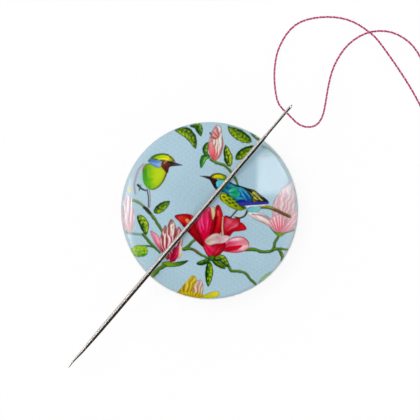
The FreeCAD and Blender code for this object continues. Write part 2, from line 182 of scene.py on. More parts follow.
# Fine marks left by handling and tumbling: short scratches in every direction and a soft bloom.
marks = bpy.data.node_groups.new("handling marks", "ShaderNodeTree")
input_socket(marks, "Vector", "NodeSocketVector")
input_socket(marks, "Scale", "NodeSocketFloat", 1.0)
input_socket(marks, "Polish", "NodeSocketFloat", 0.1)
input_socket(marks, "Wear", "NodeSocketFloat", 0.2)
marks.interface.new_socket("Roughness", in_out="OUTPUT", socket_type="NodeSocketFloat")
marks.interface.new_socket("Height", in_out="OUTPUT", socket_type="NodeSocketFloat")
given = marks.nodes.new("NodeGroupInput")
scaled = linked(marks, "ShaderNodeVectorMath",
                {0: given.outputs["Vector"], "Scale": given.outputs["Scale"]}, operation="SCALE")
bloom = linked(marks, "ShaderNodeTexNoise",
               {"Vector": scaled.outputs[0], "Scale": 600.0, "Detail": 5.0, "Roughness": 0.65})
layers = []
for turn in (0.4, 1.5, 2.6):
    laid = linked(marks, "ShaderNodeMapping", {"Vector": scaled.outputs[0], "Rotation": (0.3, 0.2, turn),
                                               "Scale": (300.0, 9000.0, 2500.0)})
    streak = linked(marks, "ShaderNodeTexNoise", {"Vector": laid.outputs[0], "Scale": 1.0, "Detail": 2.0})
    layers.append(linked(marks, "ShaderNodeMapRange",
                         {"Value": streak.outputs[0], "From Min": 0.62, "From Max": 0.75}).outputs[0])
scratches = linked(marks, "ShaderNodeMath", {0: layers[0], 1: layers[1]}, operation="MAXIMUM")
scratches = linked(marks, "ShaderNodeMath", {0: scratches.outputs[0], 1: layers[2]}, operation="MAXIMUM")
worn = linked(marks, "ShaderNodeMath", {0: scratches.outputs[0], 1: bloom.outputs[0]}, operation="ADD")
worn = linked(marks, "ShaderNodeMath", {0: worn.outputs[0], 1: given.outputs["Wear"]}, operation="MULTIPLY")
rough = linked(marks, "ShaderNodeMath", {0: worn.outputs[0], 1: given.outputs["Polish"]}, operation="ADD")
linked(marks, "NodeGroupOutput", {0: rough.outputs[0], 1: scratches.outputs[0]})


def new_material(name, **sockets):
    """A material with one Principled shader; its sockets are given by name, with _ for a space."""
    material = bpy.data.materials.new(name)
    material.use_nodes = True
    tree = material.node_tree
    shader = tree.nodes["Principled BSDF"]
    for socket, value in sockets.items():
        shader.inputs[socket.replace("_", " ")].default_value = value
    return material, tree, shader


def add_marks(tree, shader, scale, polish, wear, depth):
    """Give a metal its handling marks, in its roughness and as a fine relief."""
    place = tree.nodes.new("ShaderNodeTexCoord")
    worn = linked(tree, "ShaderNodeGroup", node_tree=marks)
    tree.links.new(place.outputs["Object"], worn.inputs["Vector"])
    for name, value in (("Scale", scale), ("Polish", polish), ("Wear", wear)):
        worn.inputs[name].default_value = value
    tree.links.new(worn.outputs["Roughness"], shader.inputs["Roughness"])
    relief = linked(tree, "ShaderNodeBump", {"Height": worn.outputs["Height"], "Strength": 0.3,
                                             "Distance": depth})
    tree.links.new(relief.outputs[0], shader.inputs["Normal"])
    return place


nickel, tree, shader = new_material("bright nickel", Base_Color=(0.60, 0.575, 0.53, 1), Metallic=1.0)
add_marks(tree, shader, 1.0, 0.1, 0.1, 8e-7)

magnet_edge = 0.2 * mm


def magnet_section(node):
    """Half the section of a magnet, as large as its part, with rounded edges."""
    low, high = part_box(node)
    inner, bottom, top = high.x - magnet_edge, low.z + magnet_edge, high.z - magnet_edge
    return ([(0, low.z)] + arc((inner, bottom), magnet_edge, -90, 0, 8)
            + arc((inner, top), magnet_edge, 0, 90, 8) + [(0, high.z)])


for node, body in (("keeper_magnet", "keeper"), ("fixed_magnet", "badge")):
    magnet = turned_piece(node + "_disc", magnet_section(node), nickel, turns=128)
    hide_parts(node)
    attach(magnet, body)

# ===================================================================================================
# Glue: clear epoxy, a thin layer over the magnet and an uneven ring pressed out round it.
# It is mixed with a few bubbles and sets slightly yellow.
epoxy, tree, shader = new_material("clear epoxy", Base_Color=(0.72, 0.62, 0.40, 1), Roughness=0.12,
                                   Coat_Weight=0.6, Coat_Roughness=0.05)
place = tree.nodes.new("ShaderNodeTexCoord")
cloud = linked(tree, "ShaderNodeTexNoise", {"Vector": place.outputs["Object"], "Scale": 900.0, "Detail": 4.0})
tint = linked(tree, "ShaderNodeValToRGB", {0: cloud.outputs[0]})
tint.color_ramp.elements[0].color = (0.55, 0.45, 0.26, 1)
tint.color_ramp.elements[1].color = (0.80, 0.74, 0.55, 1)
tree.links.new(tint.outputs[0], shader.inputs["Base Color"])
bubbles = linked(tree, "ShaderNodeTexVoronoi", {"Vector": place.outputs["Object"], "Scale": 5500.0})
dents = linked(tree, "ShaderNodeMapRange", {"Value": bubbles.outputs["Distance"], "From Min": 0.05,
                                            "From Max": 0.3})
relief = linked(tree, "ShaderNodeBump", {"Height": dents.outputs[0], "Strength": 0.25, "Distance": 2e-5})
tree.links.new(relief.outputs[0], shader.inputs["Normal"])

glue_low, glue_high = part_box("magnet_glue")
magnet_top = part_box("fixed_magnet")[1].z
magnet_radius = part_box("fixed_magnet")[1].x
ring_width = glue_high.x - magnet_radius
ring_height = glue_high.z - glue_low.z
# The ring is steep beside the magnet and runs out flat, and its ripples only take from its width.
glue_section = [(0, magnet_top), (magnet_radius, magnet_top), (magnet_radius, glue_low.z)]
glue_section += [(magnet_radius + ring_width * share ** 1.4, glue_low.z + ring_height * share ** 0.55)
                 for share in np.linspace(0.08, 1, 10)]
glue_section += [(0, glue_high.z)]
glue = turned_piece("glue_ring", glue_section, epoxy, turns=144)
for vertex in glue.data.vertices:
    radius, turn = math.hypot(vertex.co.x, vertex.co.y), math.atan2(vertex.co.y, vertex.co.x)
    if radius > magnet_radius + 0.02 * mm:
        ripple = 0.5 + 0.28 * math.sin(3 * turn + 0.7) + 0.22 * math.sin(7 * turn + 2.1)
        spare = (radius - magnet_radius) * 0.45 * ripple
        vertex.co.x *= (radius - spare) / radius
        vertex.co.y *= (radius - spare) / radius
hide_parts("magnet_glue")
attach(glue, "badge")

# ===================================================================================================
# Back plate: tinplate pressed flat, with a stiffening ring, and its edge turned up inside the shell.
# Rolled sheet shows fine straight grain; tin has a soft grey gloss.
tinplate, tree, shader = new_material("tinplate", Base_Color=(0.56, 0.57, 0.58, 1), Metallic=1.0)
place = add_marks(tree, shader, 0.8, 0.2, 0.22, 2e-6)
laid = linked(tree, "ShaderNodeMapping", {"Vector": place.outputs["Object"],
                                          "Scale": (150.0, 14000.0, 150.0)})
grain = linked(tree, "ShaderNodeTexNoise", {"Vector": laid.outputs[0], "Scale": 1.0, "Detail": 3.0})
tone = linked(tree, "ShaderNodeValToRGB", {0: grain.outputs[0]})
tone.color_ramp.elements[0].color = (0.48, 0.49, 0.50, 1)
tone.color_ramp.elements[1].color = (0.64, 0.65, 0.66, 1)
tree.links.new(tone.outputs[0], shader.inputs["Base Color"])

film_low, film_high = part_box("clear_film")
plate_low, plate_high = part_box("back_plate")
sheet_thickness = 0.25 * mm
plate_bend = 0.35 * mm
bead_radius, bead_width, bead_height = 8.7 * mm, 1.6 * mm, 0.45 * mm


def pressed_line(height):
    """The plate's lower or upper face, from the middle to the bend, with its ring."""
    line = [(0, height)]
    for share in np.linspace(0, 1, 15):
        swell = 0.5 - 0.5 * math.cos(2 * math.pi * share)
        line.append((bead_radius + bead_width * (share - 0.5), height + bead_height * min(1, 1.3 * swell)))
    return line


plate_radius = plate_high.x
bend_centre = (plate_radius - plate_bend, plate_low.z + plate_bend)
plate_section = pressed_line(plate_low.z) + arc(bend_centre, plate_bend, -90, 0, 6)
plate_section += [(plate_radius, plate_high.z), (plate_radius - sheet_thickness, plate_high.z)]
plate_section += arc(bend_centre, plate_bend - sheet_thickness, 0, -90, 4)
plate_section += pressed_line(plate_low.z + sheet_thickness)[::-1]
plate = turned_piece("pressed_back_plate", plate_section, tinplate, turns=144)
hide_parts("back_plate")
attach(plate, "badge")

# ===================================================================================================
# Front shell: a domed tinplate cup, its edge curled in to make the lip that holds the back plate.
# Only its curled edge shows, from behind, between the paper and the plate.
dome_radius, rim_radius, lip_radius, lip_width = 36 * mm, 1.0 * mm, 0.7 * mm, 1.6 * mm
film_thickness, paper_thickness = 0.1 * mm, 0.12 * mm
badge_radius = film_high.x
plate_bottom = plate_low.z
dome_centre = film_high.z - dome_radius
rim_reach = badge_radius - rim_radius
rim_rise = math.sqrt((dome_radius - rim_radius) ** 2 - rim_reach ** 2)
rim_centre = (rim_reach, dome_centre + rim_rise)
lip_centre = (badge_radius - lip_radius, film_low.z + lip_radius)
dome_edge = math.degrees(math.atan2(rim_rise, rim_reach))
lip_end = badge_radius - lip_width


def formed_face(depth, dome_steps, edge_steps=10):
    """One face of a layer from the crown to the lip, that far below the outside of the film."""
    face = arc((0, dome_centre), dome_radius - depth, 90, dome_edge, dome_steps)
    face += arc(rim_centre, rim_radius - depth, dome_edge, 0, edge_steps)[1:]
    face += arc(lip_centre, lip_radius - depth, 0, -90, edge_steps)
    return face


def formed_section(outer, inner, wraps, dome_steps=40):
    """The closed section of a layer; one that wraps also turns up to the back plate."""
    section = formed_face(outer, dome_steps)
    section += [(lip_end + outer, film_low.z + outer), (lip_end + outer, plate_bottom)]
    if wraps:
        section += [(lip_end + inner, plate_bottom), (lip_end + inner, film_low.z + inner)]
    return section + formed_face(inner, dome_steps)[::-1]


under_paper = film_thickness + paper_thickness
shell = turned_piece("domed_shell", formed_section(under_paper, plate_bottom - film_low.z, False), tinplate,
                     turns=144)
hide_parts("front_shell")
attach(shell, "badge")

# ===================================================================================================
# Printed paper: a round of coated paper wrapped over the shell, its edge pressed under the lip.
# It carries a garden print of two songbirds among magnolias on pale blue, in offset inks with dark
# keylines.  Its face is a fine, even net of triangles, and the ink is laid on that net's points.
# The print is drawn in millimetres from the middle of the badge, its colours from 0 to 255.
ring_step = 0.0775
fine_rings, side_rings = 158, 12
outer_line = np.array(formed_face(film_thickness, 220, 60) + [(lip_end + film_thickness,
                                                               film_low.z + film_thickness)]) / mm
run = np.concatenate([[0], np.cumsum(np.linalg.norm(np.diff(outer_line, axis=0), axis=1))])
dome_end = np.interp(rim_centre[0] / mm, outer_line[:221, 0], run[:221])
# The print is flat art, so its measure runs on down the side of the badge where the plan stops.
print_radius = np.where(run < dome_end, outer_line[:, 0], rim_centre[0] / mm + run - dome_end)
ring_measures = np.concatenate([ring_step * np.arange(1, fine_rings + 1),
                                np.linspace(ring_step * fine_rings, print_radius[-1], side_rings + 1)[1:]])
inner_line = np.array(formed_face(under_paper, 14, 5))[::-1] / mm

paper_points, art_points, rings = [(0, 0, outer_line[0, 1])], [(0, 0)], []


def add_ring(radius, height, count, measure=None):
    """Add a ring of points, and where each lies on the flat print."""
    rings.append((len(paper_points), count))
    turns = 2 * math.pi * np.arange(count) / count
    paper_points.extend(zip(radius * np.cos(turns), radius * np.sin(turns), np.full(count, height)))
    if measure is not None:
        art_points.extend(zip(measure * np.cos(turns), measure * np.sin(turns)))


for number, measure in enumerate(ring_measures, start=1):
    place_on_line = np.interp(measure, print_radius, run)
    add_ring(np.interp(place_on_line, run, outer_line[:, 0]), np.interp(place_on_line, run, outer_line[:, 1]),
             6 * min(number, fine_rings), measure)
for radius, height in ([((lip_end + film_thickness) / mm, plate_bottom / mm),
                        ((lip_end + under_paper) / mm, plate_bottom / mm),
                        ((lip_end + under_paper) / mm, (film_low.z + under_paper) / mm)]
                       + [tuple(point) for point in inner_line[:-1]]):
    add_ring(radius, height, 192)
paper_points.append((0, 0, inner_line[-1, 1]))

triangles = []
for (first, few), (second, many) in zip(rings, rings[1:]):
    near_point = far_point = 0
    while near_point < few or far_point < many:
        here = first + near_point % few
        there = second + far_point % many
        if (near_point + 1) * many <= (far_point + 1) * few and near_point < few:
            near_point += 1
            triangles.append((here, there, first + near_point % few))
        else:
            far_point += 1
            triangles.append((here, there, second + far_point % many))
for (start, count), middle in ((rings[0], 0), (rings[-1], len(paper_points) - 1)):
    triangles += [(middle, start + k, start + (k + 1) % count) for k in range(count)]

place = np.array(art_points)
ink = np.ones((len(place), 3))
ink_softness = 0.09


def waves(points, pitch, seed, count=9):
    """Uneven smooth tone between about -1 and 1, its patches about a pitch across."""
    draw = np.random.default_rng(seed)
    turns, phases = draw.uniform(0, math.pi, count), draw.uniform(0, 6.3, count)
    rates = 2 * math.pi / pitch * draw.uniform(0.5, 1.2, count)
    ways = np.stack([np.cos(turns), np.sin(turns)]) * rates
    return np.sin(points @ ways + phases).sum(1) / math.sqrt(count)


def smooth_line(points, closed=False, steps=8):
    """A smooth line through given points."""
    p = np.array(points, float)
    if closed:
        p = np.vstack([p[-1:], p, p[:2]])
    else:
        p = np.vstack([2 * p[0] - p[1], p, 2 * p[-1] - p[-2]])
    s = np.linspace(0, 1, steps, endpoint=False)[:, None]
    parts = [b + 0.5 * s * (c - a + s * (2 * a - 5 * b + 4 * c - d + s * (3 * b - 3 * c + d - a)))
             for a, b, c, d in zip(p, p[1:], p[2:], p[3:])]
    return np.vstack(parts + [p[-2:-1]])


def brush(line, reach):
    """The places near a line: which they are, their share along it, and how far to its left."""
    low, high = line.min(0) - reach, line.max(0) + reach
    spots = np.nonzero(((place > low) & (place < high)).all(1))[0]
    step = np.diff(line, axis=0)
    length = np.maximum(np.linalg.norm(step, axis=1), 1e-9)
    gone = np.concatenate([[0], np.cumsum(length)])
    offset = place[spots][:, None, :] - line[None, :-1, :]
    share = np.clip((offset * step).sum(2) / length ** 2, 0, 1)
    away = offset - share[..., None] * step
    distance = np.linalg.norm(away, axis=2)
    best = distance.argmin(1)
    pick = (np.arange(len(spots)), best)
    left = np.sign(step[best, 0] * away[pick][:, 1] - step[best, 1] * away[pick][:, 0])
    return spots, (gone[best] + share[pick] * length[best]) / gone[-1], left * distance[pick]


def lay(spots, cover, colour):
    """Lay ink on some places, as fully as the cover says."""
    ink[spots] += np.clip(cover, 0, 1)[:, None] * (np.asarray(colour) / 255 - ink[spots])


def inside(depth):
    """How fully ink covers a place, by its depth inside an outline with a soft edge."""
    return np.clip(0.5 + depth / ink_softness, 0, 1)


def blended(share, colours):
    """Colours passed through one after another as the share goes from 0 to 1."""
    stops = np.linspace(0, 1, len(colours))
    return np.stack([np.interp(share, stops, [c[i] for c in colours]) for i in range(3)], axis=-1)


def stroke(points, width, *colours, taper=0.4, keyline=None, rough=0.0):
    """A brushed line, thinner towards its end, with a lit side and an optional dark keyline."""
    line = smooth_line(points)
    spots, share, left = brush(line, width + 0.3)
    half = width / 2 * (1 - taper * share) * (1 + rough * waves(place[spots], 0.7, 5))
    if keyline:
        lay(spots, inside(half + 0.06 - abs(left)), keyline)
    if len(colours) == 1:
        colours *= 2
    lay(spots, inside(half - abs(left)), blended(np.clip(0.5 + left / width, 0, 1), colours))


def patch(points, colours, axis, streak=None, lines=0, strength=0.8, keyline=None, weight=0.07, shade=None,
          fan=0.5, gleam=None):
    """Fill a closed smooth shape, with colours, streaks, gleams between them, shaded borders and a keyline.

    The colours run along the axis, given as its two ends, and the streaks fan out from its start.
    """
    line = smooth_line(points, closed=True)
    spots, _, gap = brush(line, 0.2)
    x, y = place[spots].T[..., None]
    (x0, y0), (x1, y1) = line[:-1].T, line[1:].T
    crossed = ((y0 > y) != (y1 > y)) & (x < (x1 - x0) * (y - y0) / np.where(y1 == y0, 1, y1 - y0) + x0)
    depth = abs(gap) * np.where(crossed.sum(1) % 2, 1, -1)
    start, end = np.array(axis, float)
    along = end - start
    reach = np.linalg.norm(along)
    offset = place[spots] - start
    share = np.clip(offset @ along / reach ** 2, 0, 1)
    cover = inside(depth)
    lay(spots, cover, blended(share + 0.05 * waves(place[spots], 0.9, 3), colours))
    if shade:
        lay(spots, cover * 0.75 * np.exp(-np.maximum(depth, 0) / 0.28), shade)
    if streak:
        offset += fan * along
        turn = np.arctan2(along[0] * offset[:, 1] - along[1] * offset[:, 0], offset @ along)
        turn = turn + 0.02 * waves(place[spots], 1.2, 8)
        bands = np.sin(turn * lines + 0.6 * np.sin(turn * lines * 0.37 + 1)) * 0.7 + 0.3
        fade = np.clip(1.25 - share, 0, 1) * np.clip(bands * 1.6, 0, 1)
        lay(spots, cover * strength * fade, streak)
        if gleam:
            between = np.clip(-bands * 3 - 0.3, 0, 1) * np.clip(share * 3 - 0.4, 0, 1)
            lay(spots, cover * strength * between, gleam)
    if keyline:
        pressed = 1.2 + 0.35 * waves(place[spots], 1.6, 14)
        lay(spots, cover * np.clip(pressed - np.maximum(depth, 0) / weight, 0, 1) * 0.9, keyline)


leaf_dark, leaf_mid, leaf_light, leaf_gleam = (16, 48, 6), (72, 118, 4), (116, 146, 2), (158, 178, 20)


def leaf(points, half_width, light=leaf_light, mid=leaf_mid, dark=leaf_dark, fade=0.0, lit=1, blunt=0.0):
    """A pointed leaf along a spine, wide near its start, with one half in light and one in shade.

    The light falls on the left of the spine where lit is 1, on the right where it is -1.
    """
    line = smooth_line(points)
    spots, share, left = brush(line, half_width + 0.25)
    half = half_width * (share ** 0.6 * (1 - share) ** (0.8 - 0.4 * blunt)) / (0.46 + 0.09 * blunt)
    half *= 1.08 + 0.06 * waves(place[spots], 0.7, 12)
    side = lit * left
    mottle = waves(place[spots], 0.45, 4)
    tone = np.clip(0.52 + 0.55 * side / half_width + 0.32 * mottle, 0, 1)
    cover = inside(half - abs(left)) * (1 - fade)
    lay(spots, inside(half + 0.05 - abs(left)) * (1 - fade), dark)
    border = 0.05 + 0.17 * np.clip(-side / half_width * 2, 0, 1)
    lay(spots, cover * inside(half - border - abs(left)),
        blended(tone, (dark, mid, mid, light, light, leaf_gleam)))
    length = np.linalg.norm(np.diff(line, axis=0), axis=1).sum()
    veins = np.sin(2 * math.pi * (share * length - 0.9 * abs(left)) / 0.62)
    lay(spots, cover * np.clip(veins * 2 - 1.1, 0, 1) * 0.45, dark)
    lay(spots, cover * inside(0.035 - abs(left)) * 0.8, dark)


def twig(points, width=0.36, colours=((34, 82, 22), (124, 148, 44)), keyline=(26, 60, 20), taper=0.35):
    """A knotty brushed line."""
    stroke(points, width, *colours, taper=taper, keyline=keyline, rough=0.22)


# The blue ground, a little darker towards the top, with the soft mottle of a wash; its lighter lower part is
# painted light, evening out the shade that falls there away from the lamp at the upper left.
ground = blended(np.clip(0.5 - 0.012 * place[:, 1] + 0.16 * waves(place, 5.0, 1), 0, 1),
                 ((160, 189, 202), (164, 193, 207), (170, 198, 213)))
ink[:] = (ground + 1.6 * waves(place, 0.5, 2)[:, None]) / 255

# Branches first, as the painter lays them, then leaves, blossoms and birds over them.
twig([(-11.0, 1.5), (-10.1, 1.2), (-9.3, 0.6), (-8.6, -0.2)], 0.26, ((82, 108, 64), (150, 164, 116)),
     (92, 112, 70), 0.0)
twig([(-8.9, 0.2), (-8.4, -0.4), (-7.6, -1.4), (-6.9, -2.5), (-6.5, -3.4)], 0.35)
twig([(-11.9, -3.1), (-10.8, -3.25), (-9.3, -3.4)], 0.22, ((110, 144, 132), (136, 166, 150)), (92, 128, 112),
     0.0)
twig([(-9.3, -3.4), (-8.6, -4.3), (-7.8, -5.1), (-7.0, -5.9)], 0.33, ((28, 84, 26), (112, 146, 40)))
twig([(-9.4, -5.1), (-8.6, -5.0), (-7.8, -5.2)], 0.17)
twig([(-8.5, -9.7), (-7.5, -8.6), (-6.6, -7.9), (-5.6, -7.6)], 0.54, ((44, 96, 14), (138, 166, 34)))
twig([(-3.6, -5.5), (-3.0, -5.0), (-2.5, -4.5), (-2.0, -4.1)], 0.34)
twig([(-3.7, -5.45), (-2.9, -5.35), (-2.25, -5.5), (-1.3, -6.2), (0.1, -6.85)], 0.3)
twig([(-2.4, -5.45), (-1.8, -5.8), (-1.3, -6.15)], 0.2, ((84, 62, 30), (150, 120, 80)), taper=0.0)
twig([(0.6, -7.0), (1.7, -7.6), (2.6, -7.9), (3.1, -8.5), (4.2, -8.6), (5.1, -8.9), (5.7, -9.6),
      (6.6, -10.5)], 0.34)
twig([(5.0, -5.5), (6.2, -5.5), (7.4, -5.8), (8.4, -5.8), (9.0, -5.4), (9.2, -4.6), (9.7, -3.7),
      (10.0, -3.1)], 0.37)
twig([(8.9, -5.5), (10.0, -5.4), (11.2, -5.6)], 0.29)
twig([(9.9, -3.2), (10.9, -3.0), (12.0, -2.7)], 0.29)
twig([(9.8, -5.6), (10.3, -6.3), (10.2, -7.1)], 0.25)
twig([(0.2, 7.2), (1.0, 6.7), (2.0, 6.4), (2.7, 5.8), (3.3, 5.0), (3.8, 4.1), (4.0, 3.5)], 0.29)
stroke([(7.4, 9.1), (8.4, 8.7), (9.4, 8.0), (10.4, 7.5)], 0.32, (118, 150, 140), (142, 168, 144), taper=0.1)

leaf([(-4.9, 11.5), (-3.7, 11.25), (-2.6, 10.4), (-1.95, 8.75)], 0.74, lit=-1)
leaf([(-2.8, 12.1), (-1.7, 12.0), (-1.2, 10.5)], 0.56, mid=(26, 84, 14), light=(70, 128, 24))
leaf([(5.9, 9.7), (4.8, 10.3), (3.8, 11.0), (2.65, 11.95)], 0.8, blunt=0.5)
leaf([(5.8, 11.2), (6.6, 10.5), (7.3, 9.7)], 0.36, light=(118, 152, 116), mid=(84, 124, 86),
     dark=(50, 78, 46))
leaf([(2.85, 6.2), (2.6, 7.6), (2.25, 9.2)], 0.6, light=(170, 178, 20), lit=-1)
leaf([(3.7, 7.2), (4.8, 8.1), (6.6, 9.0)], 0.66, lit=-1, blunt=0.3)
leaf([(-7.8, -0.3), (-6.9, 0.35), (-5.6, 1.3)], 0.62, lit=-1)
leaf([(-10.1, -0.7), (-9.3, -1.8), (-8.9, -3.4)], 0.66, light=(160, 190, 30))
leaf([(-11.4, -6.0), (-10.0, -5.75), (-8.7, -5.65)], 0.82, light=(158, 198, 50), mid=(120, 172, 24),
     dark=(60, 122, 20), fade=0.12, blunt=1.0)
leaf([(7.0, -10.4), (8.0, -9.4), (9.0, -8.6)], 0.37, light=(150, 184, 110), mid=(124, 166, 96),
     dark=(104, 150, 104), fade=0.3)
leaf([(-0.2, 9.6), (-0.6, 8.8), (-0.5, 8.0), (0.1, 7.5)], 0.35, mid=(48, 104, 30), light=(96, 148, 34))
leaf([(0.1, 7.6), (-0.8, 7.4), (-1.2, 6.0)], 0.42, mid=(34, 124, 40), light=(80, 160, 56), dark=(16, 84, 28))
leaf([(-1.8, -7.5), (-0.8, -7.3), (0.2, -6.7)], 0.35, mid=(30, 84, 30), light=(60, 120, 30))
leaf([(0.0, -7.2), (-0.05, -8.6), (-0.2, -10.7)], 0.55, light=(128, 174, 20))
leaf([(0.3, -6.7), (1.6, -6.7), (2.8, -7.9)], 0.52, light=(130, 160, 40))
leaf([(0.4, -7.0), (1.2, -7.6), (2.2, -8.2)], 0.29)
leaf([(9.9, -5.8), (10.4, -6.6), (10.3, -7.4)], 0.24)

# Bud at the top.
patch([(0.7, 7.0), (0.2, 7.6), (-0.2, 8.8), (0.0, 10.2), (0.5, 11.5), (1.1, 12.1), (1.6, 11.8), (1.8, 10.6),
       (1.95, 9.4), (1.75, 8.3), (1.3, 7.4)], ((216, 96, 98), (202, 190, 184), (194, 188, 186)),
      ((0.7, 7.0), (1.1, 12.1)), streak=(150, 86, 84), lines=62, strength=0.8, keyline=(112, 66, 66),
      weight=0.09, gleam=(232, 228, 220))
patch([(0.6, 7.2), (0.0, 8.0), (-0.1, 9.2), (0.3, 9.9), (0.6, 9.0), (0.75, 8.0)],
      ((216, 64, 72), (226, 108, 112), (206, 150, 148)), ((0.6, 7.2), (0.3, 9.9)), keyline=(150, 50, 56))
for top, foot in (((1.05, 10.3), (1.0, 8.2)), ((1.35, 10.2), (1.25, 8.0)), ((1.62, 9.9), (1.45, 8.4))):
    stroke([top, foot], 0.13, (234, 226, 216))
patch([(0.25, 10.2), (0.5, 11.2), (0.95, 11.8), (1.25, 11.3), (1.35, 10.5), (1.0, 10.1)],
      ((206, 112, 112), (218, 178, 178)), ((1.3, 10.3), (0.4, 11.4)), streak=(140, 60, 60), lines=18,
      keyline=(110, 46, 50), weight=0.09)
stroke([(0.1, 10.9), (0.3, 10.7)], 0.26, (70, 60, 80))

# Striped blossom on the lower left.
stripes = {"streak": (132, 8, 30), "lines": 74, "keyline": (92, 30, 34), "weight": 0.1, "strength": 0.95,
           "gleam": (240, 224, 222)}
patch([(-8.3, -2.9), (-7.5, -3.3), (-6.8, -4.2), (-6.4, -5.4), (-6.5, -6.0), (-7.2, -5.3), (-7.9, -4.2)],
      ((196, 52, 92), (232, 150, 168), (206, 150, 158)), ((-6.4, -6.0), (-8.3, -2.9)), streak=(170, 50, 76),
      lines=30, strength=0.6, keyline=(118, 58, 66))
patch([(-5.9, -7.0), (-6.6, -5.8), (-6.95, -4.2), (-6.6, -2.8), (-6.2, -2.1), (-5.8, -3.0), (-5.6, -4.4),
       (-5.5, -6.0)], ((190, 40, 66), (222, 160, 168), (150, 104, 90)), ((-5.7, -7.2), (-6.2, -2.1)),
      **stripes)
patch([(-5.5, -7.0), (-6.0, -5.2), (-6.1, -3.2), (-5.5, -1.3), (-4.9, -1.8), (-4.6, -3.2), (-4.8, -5.0)],
      ((196, 46, 74), (226, 180, 184), (166, 140, 120)), ((-5.4, -7.2), (-5.4, -1.3)), **stripes)
patch([(-5.0, -7.0), (-5.1, -5.2), (-4.9, -3.6), (-4.4, -2.3), (-3.9, -3.0), (-3.8, -4.4), (-4.2, -5.8)],
      ((200, 36, 66), (224, 140, 152), (214, 150, 150)), ((-5.1, -7.2), (-4.3, -2.3)), **stripes)
for top, foot in (((-5.35, -2.0), (-5.45, -3.6)), ((-5.0, -2.3), (-5.1, -3.4)), ((-6.2, -3.3), (-6.4, -4.6)),
                  ((-4.9, -4.2), (-5.3, -5.4))):
    stroke([top, foot], 0.16, (236, 232, 214))
for top, foot in (((-5.7, -1.9), (-5.8, -3.4)), ((-4.8, -2.6), (-4.9, -3.8)), ((-6.5, -3.6), (-6.6, -4.9))):
    stroke([top, foot], 0.12, (84, 34, 24))
patch([(-5.6, -7.1), (-5.2, -6.0), (-4.6, -5.0), (-4.1, -4.9), (-4.0, -5.6), (-4.5, -6.6), (-5.0, -7.2)],
      ((150, 0, 40), (202, 24, 76), (226, 130, 160)), ((-5.6, -7.2), (-4.1, -4.9)), streak=(140, 0, 36),
      lines=16, keyline=(100, 0, 28), weight=0.12)
patch([(-4.2, -4.6), (-3.9, -5.2), (-3.9, -6.2), (-4.4, -6.9), (-4.3, -5.8)], ((196, 170, 130),
       (232, 214, 208)), ((-4.4, -6.9), (-4.0, -4.6)), keyline=(180, 110, 110), weight=0.06)
patch([(-6.7, -7.4), (-5.8, -7.15), (-5.2, -7.35), (-4.3, -7.2), (-3.0, -7.05), (-3.7, -7.6), (-4.7, -7.9),
       (-5.9, -7.9)], ((126, 160, 30), (96, 134, 20), (20, 62, 16)), ((-6.7, -7.6), (-3.0, -7.1)),
      keyline=leaf_dark, weight=0.1)

# Yellow blossom at the bottom.
yellow_key = (134, 110, 24)
patch([(-4.6, -12.0), (-4.2, -11.2), (-3.4, -10.2), (-2.6, -9.3), (-2.0, -9.3), (-1.8, -10.2), (-2.0, -11.4),
       (-2.6, -12.6)], ((176, 150, 10), (206, 176, 40), (186, 166, 30)), ((-3.4, -12.4), (-2.3, -9.3)),
      streak=(120, 92, 10), lines=34, keyline=yellow_key, gleam=(226, 206, 90))
patch([(-2.6, -12.6), (-2.3, -11.0), (-1.7, -9.9), (-1.1, -9.9), (-0.9, -11.0), (-1.3, -12.4)],
      ((196, 152, 50), (210, 176, 140), (196, 166, 170)), ((-2.0, -12.6), (-1.3, -9.9)), streak=(128, 84, 60),
      lines=38, keyline=(110, 84, 60), gleam=(232, 214, 196))
patch([(-4.4, -11.7), (-3.2, -11.4), (-2.2, -11.6), (-1.0, -11.9), (-0.8, -12.7), (-3.4, -12.7)],
      ((196, 180, 4), (206, 186, 20)), ((-2.6, -12.7), (-2.6, -11.4)), streak=(120, 80, 14), lines=26,
      keyline=yellow_key)
patch([(-1.0, -12.1), (0.0, -11.6), (1.1, -11.4), (1.4, -11.9), (0.4, -12.6), (-0.8, -12.6)],
      ((176, 176, 20), (216, 206, 50)), ((-0.8, -12.4), (1.3, -11.5)), keyline=(130, 130, 30))

# Pale blossoms at the left and right edges.
blush = (226, 200, 208)
pale = {"streak": (182, 138, 144), "lines": 44, "strength": 0.75, "keyline": (160, 134, 142), "weight": 0.08,
        "gleam": (236, 230, 234)}
patch([(-11.3, -3.2), (-11.9, -1.6), (-12.4, 0.8), (-11.9, 2.0), (-11.3, 2.2), (-10.9, 0.8), (-10.5, -0.8),
       (-10.8, -2.4)], ((214, 160, 168), (216, 190, 200), (212, 204, 216)), ((-11.2, -3.2), (-11.7, 2.0)),
      **pale)
for top, foot in (((-11.7, 1.8), (-11.9, -1.0)), ((-11.2, 1.6), (-11.3, -1.6)),
                  ((-12.2, 0.6), (-12.0, -1.6))):
    stroke([top, foot], 0.2, (176, 140, 146))
    stroke([(top[0] + 0.2, top[1]), (foot[0] + 0.2, foot[1])], 0.16, (240, 234, 238))
patch([(-12.6, 0.6), (-12.1, -1.2), (-11.5, -2.8), (-12.4, -2.6), (-13.2, -0.8)], ((216, 170, 182), blush),
      ((-11.6, -2.8), (-12.8, 0.6)), **pale)
patch([(9.5, -2.7), (8.9, -0.9), (8.95, 0.9), (9.6, 2.2), (10.4, 3.2), (11.2, 3.8), (12.0, 4.2), (12.2, 2.4),
       (12.1, 0.4), (11.4, -1.4), (10.6, -2.7)], ((222, 110, 132), (214, 164, 170), (216, 188, 194),
       (208, 200, 210)), ((9.8, -3.0), (11.2, 3.8)), **{**pale, "keyline": (120, 104, 110),
       "lines": 76, "strength": 0.6})
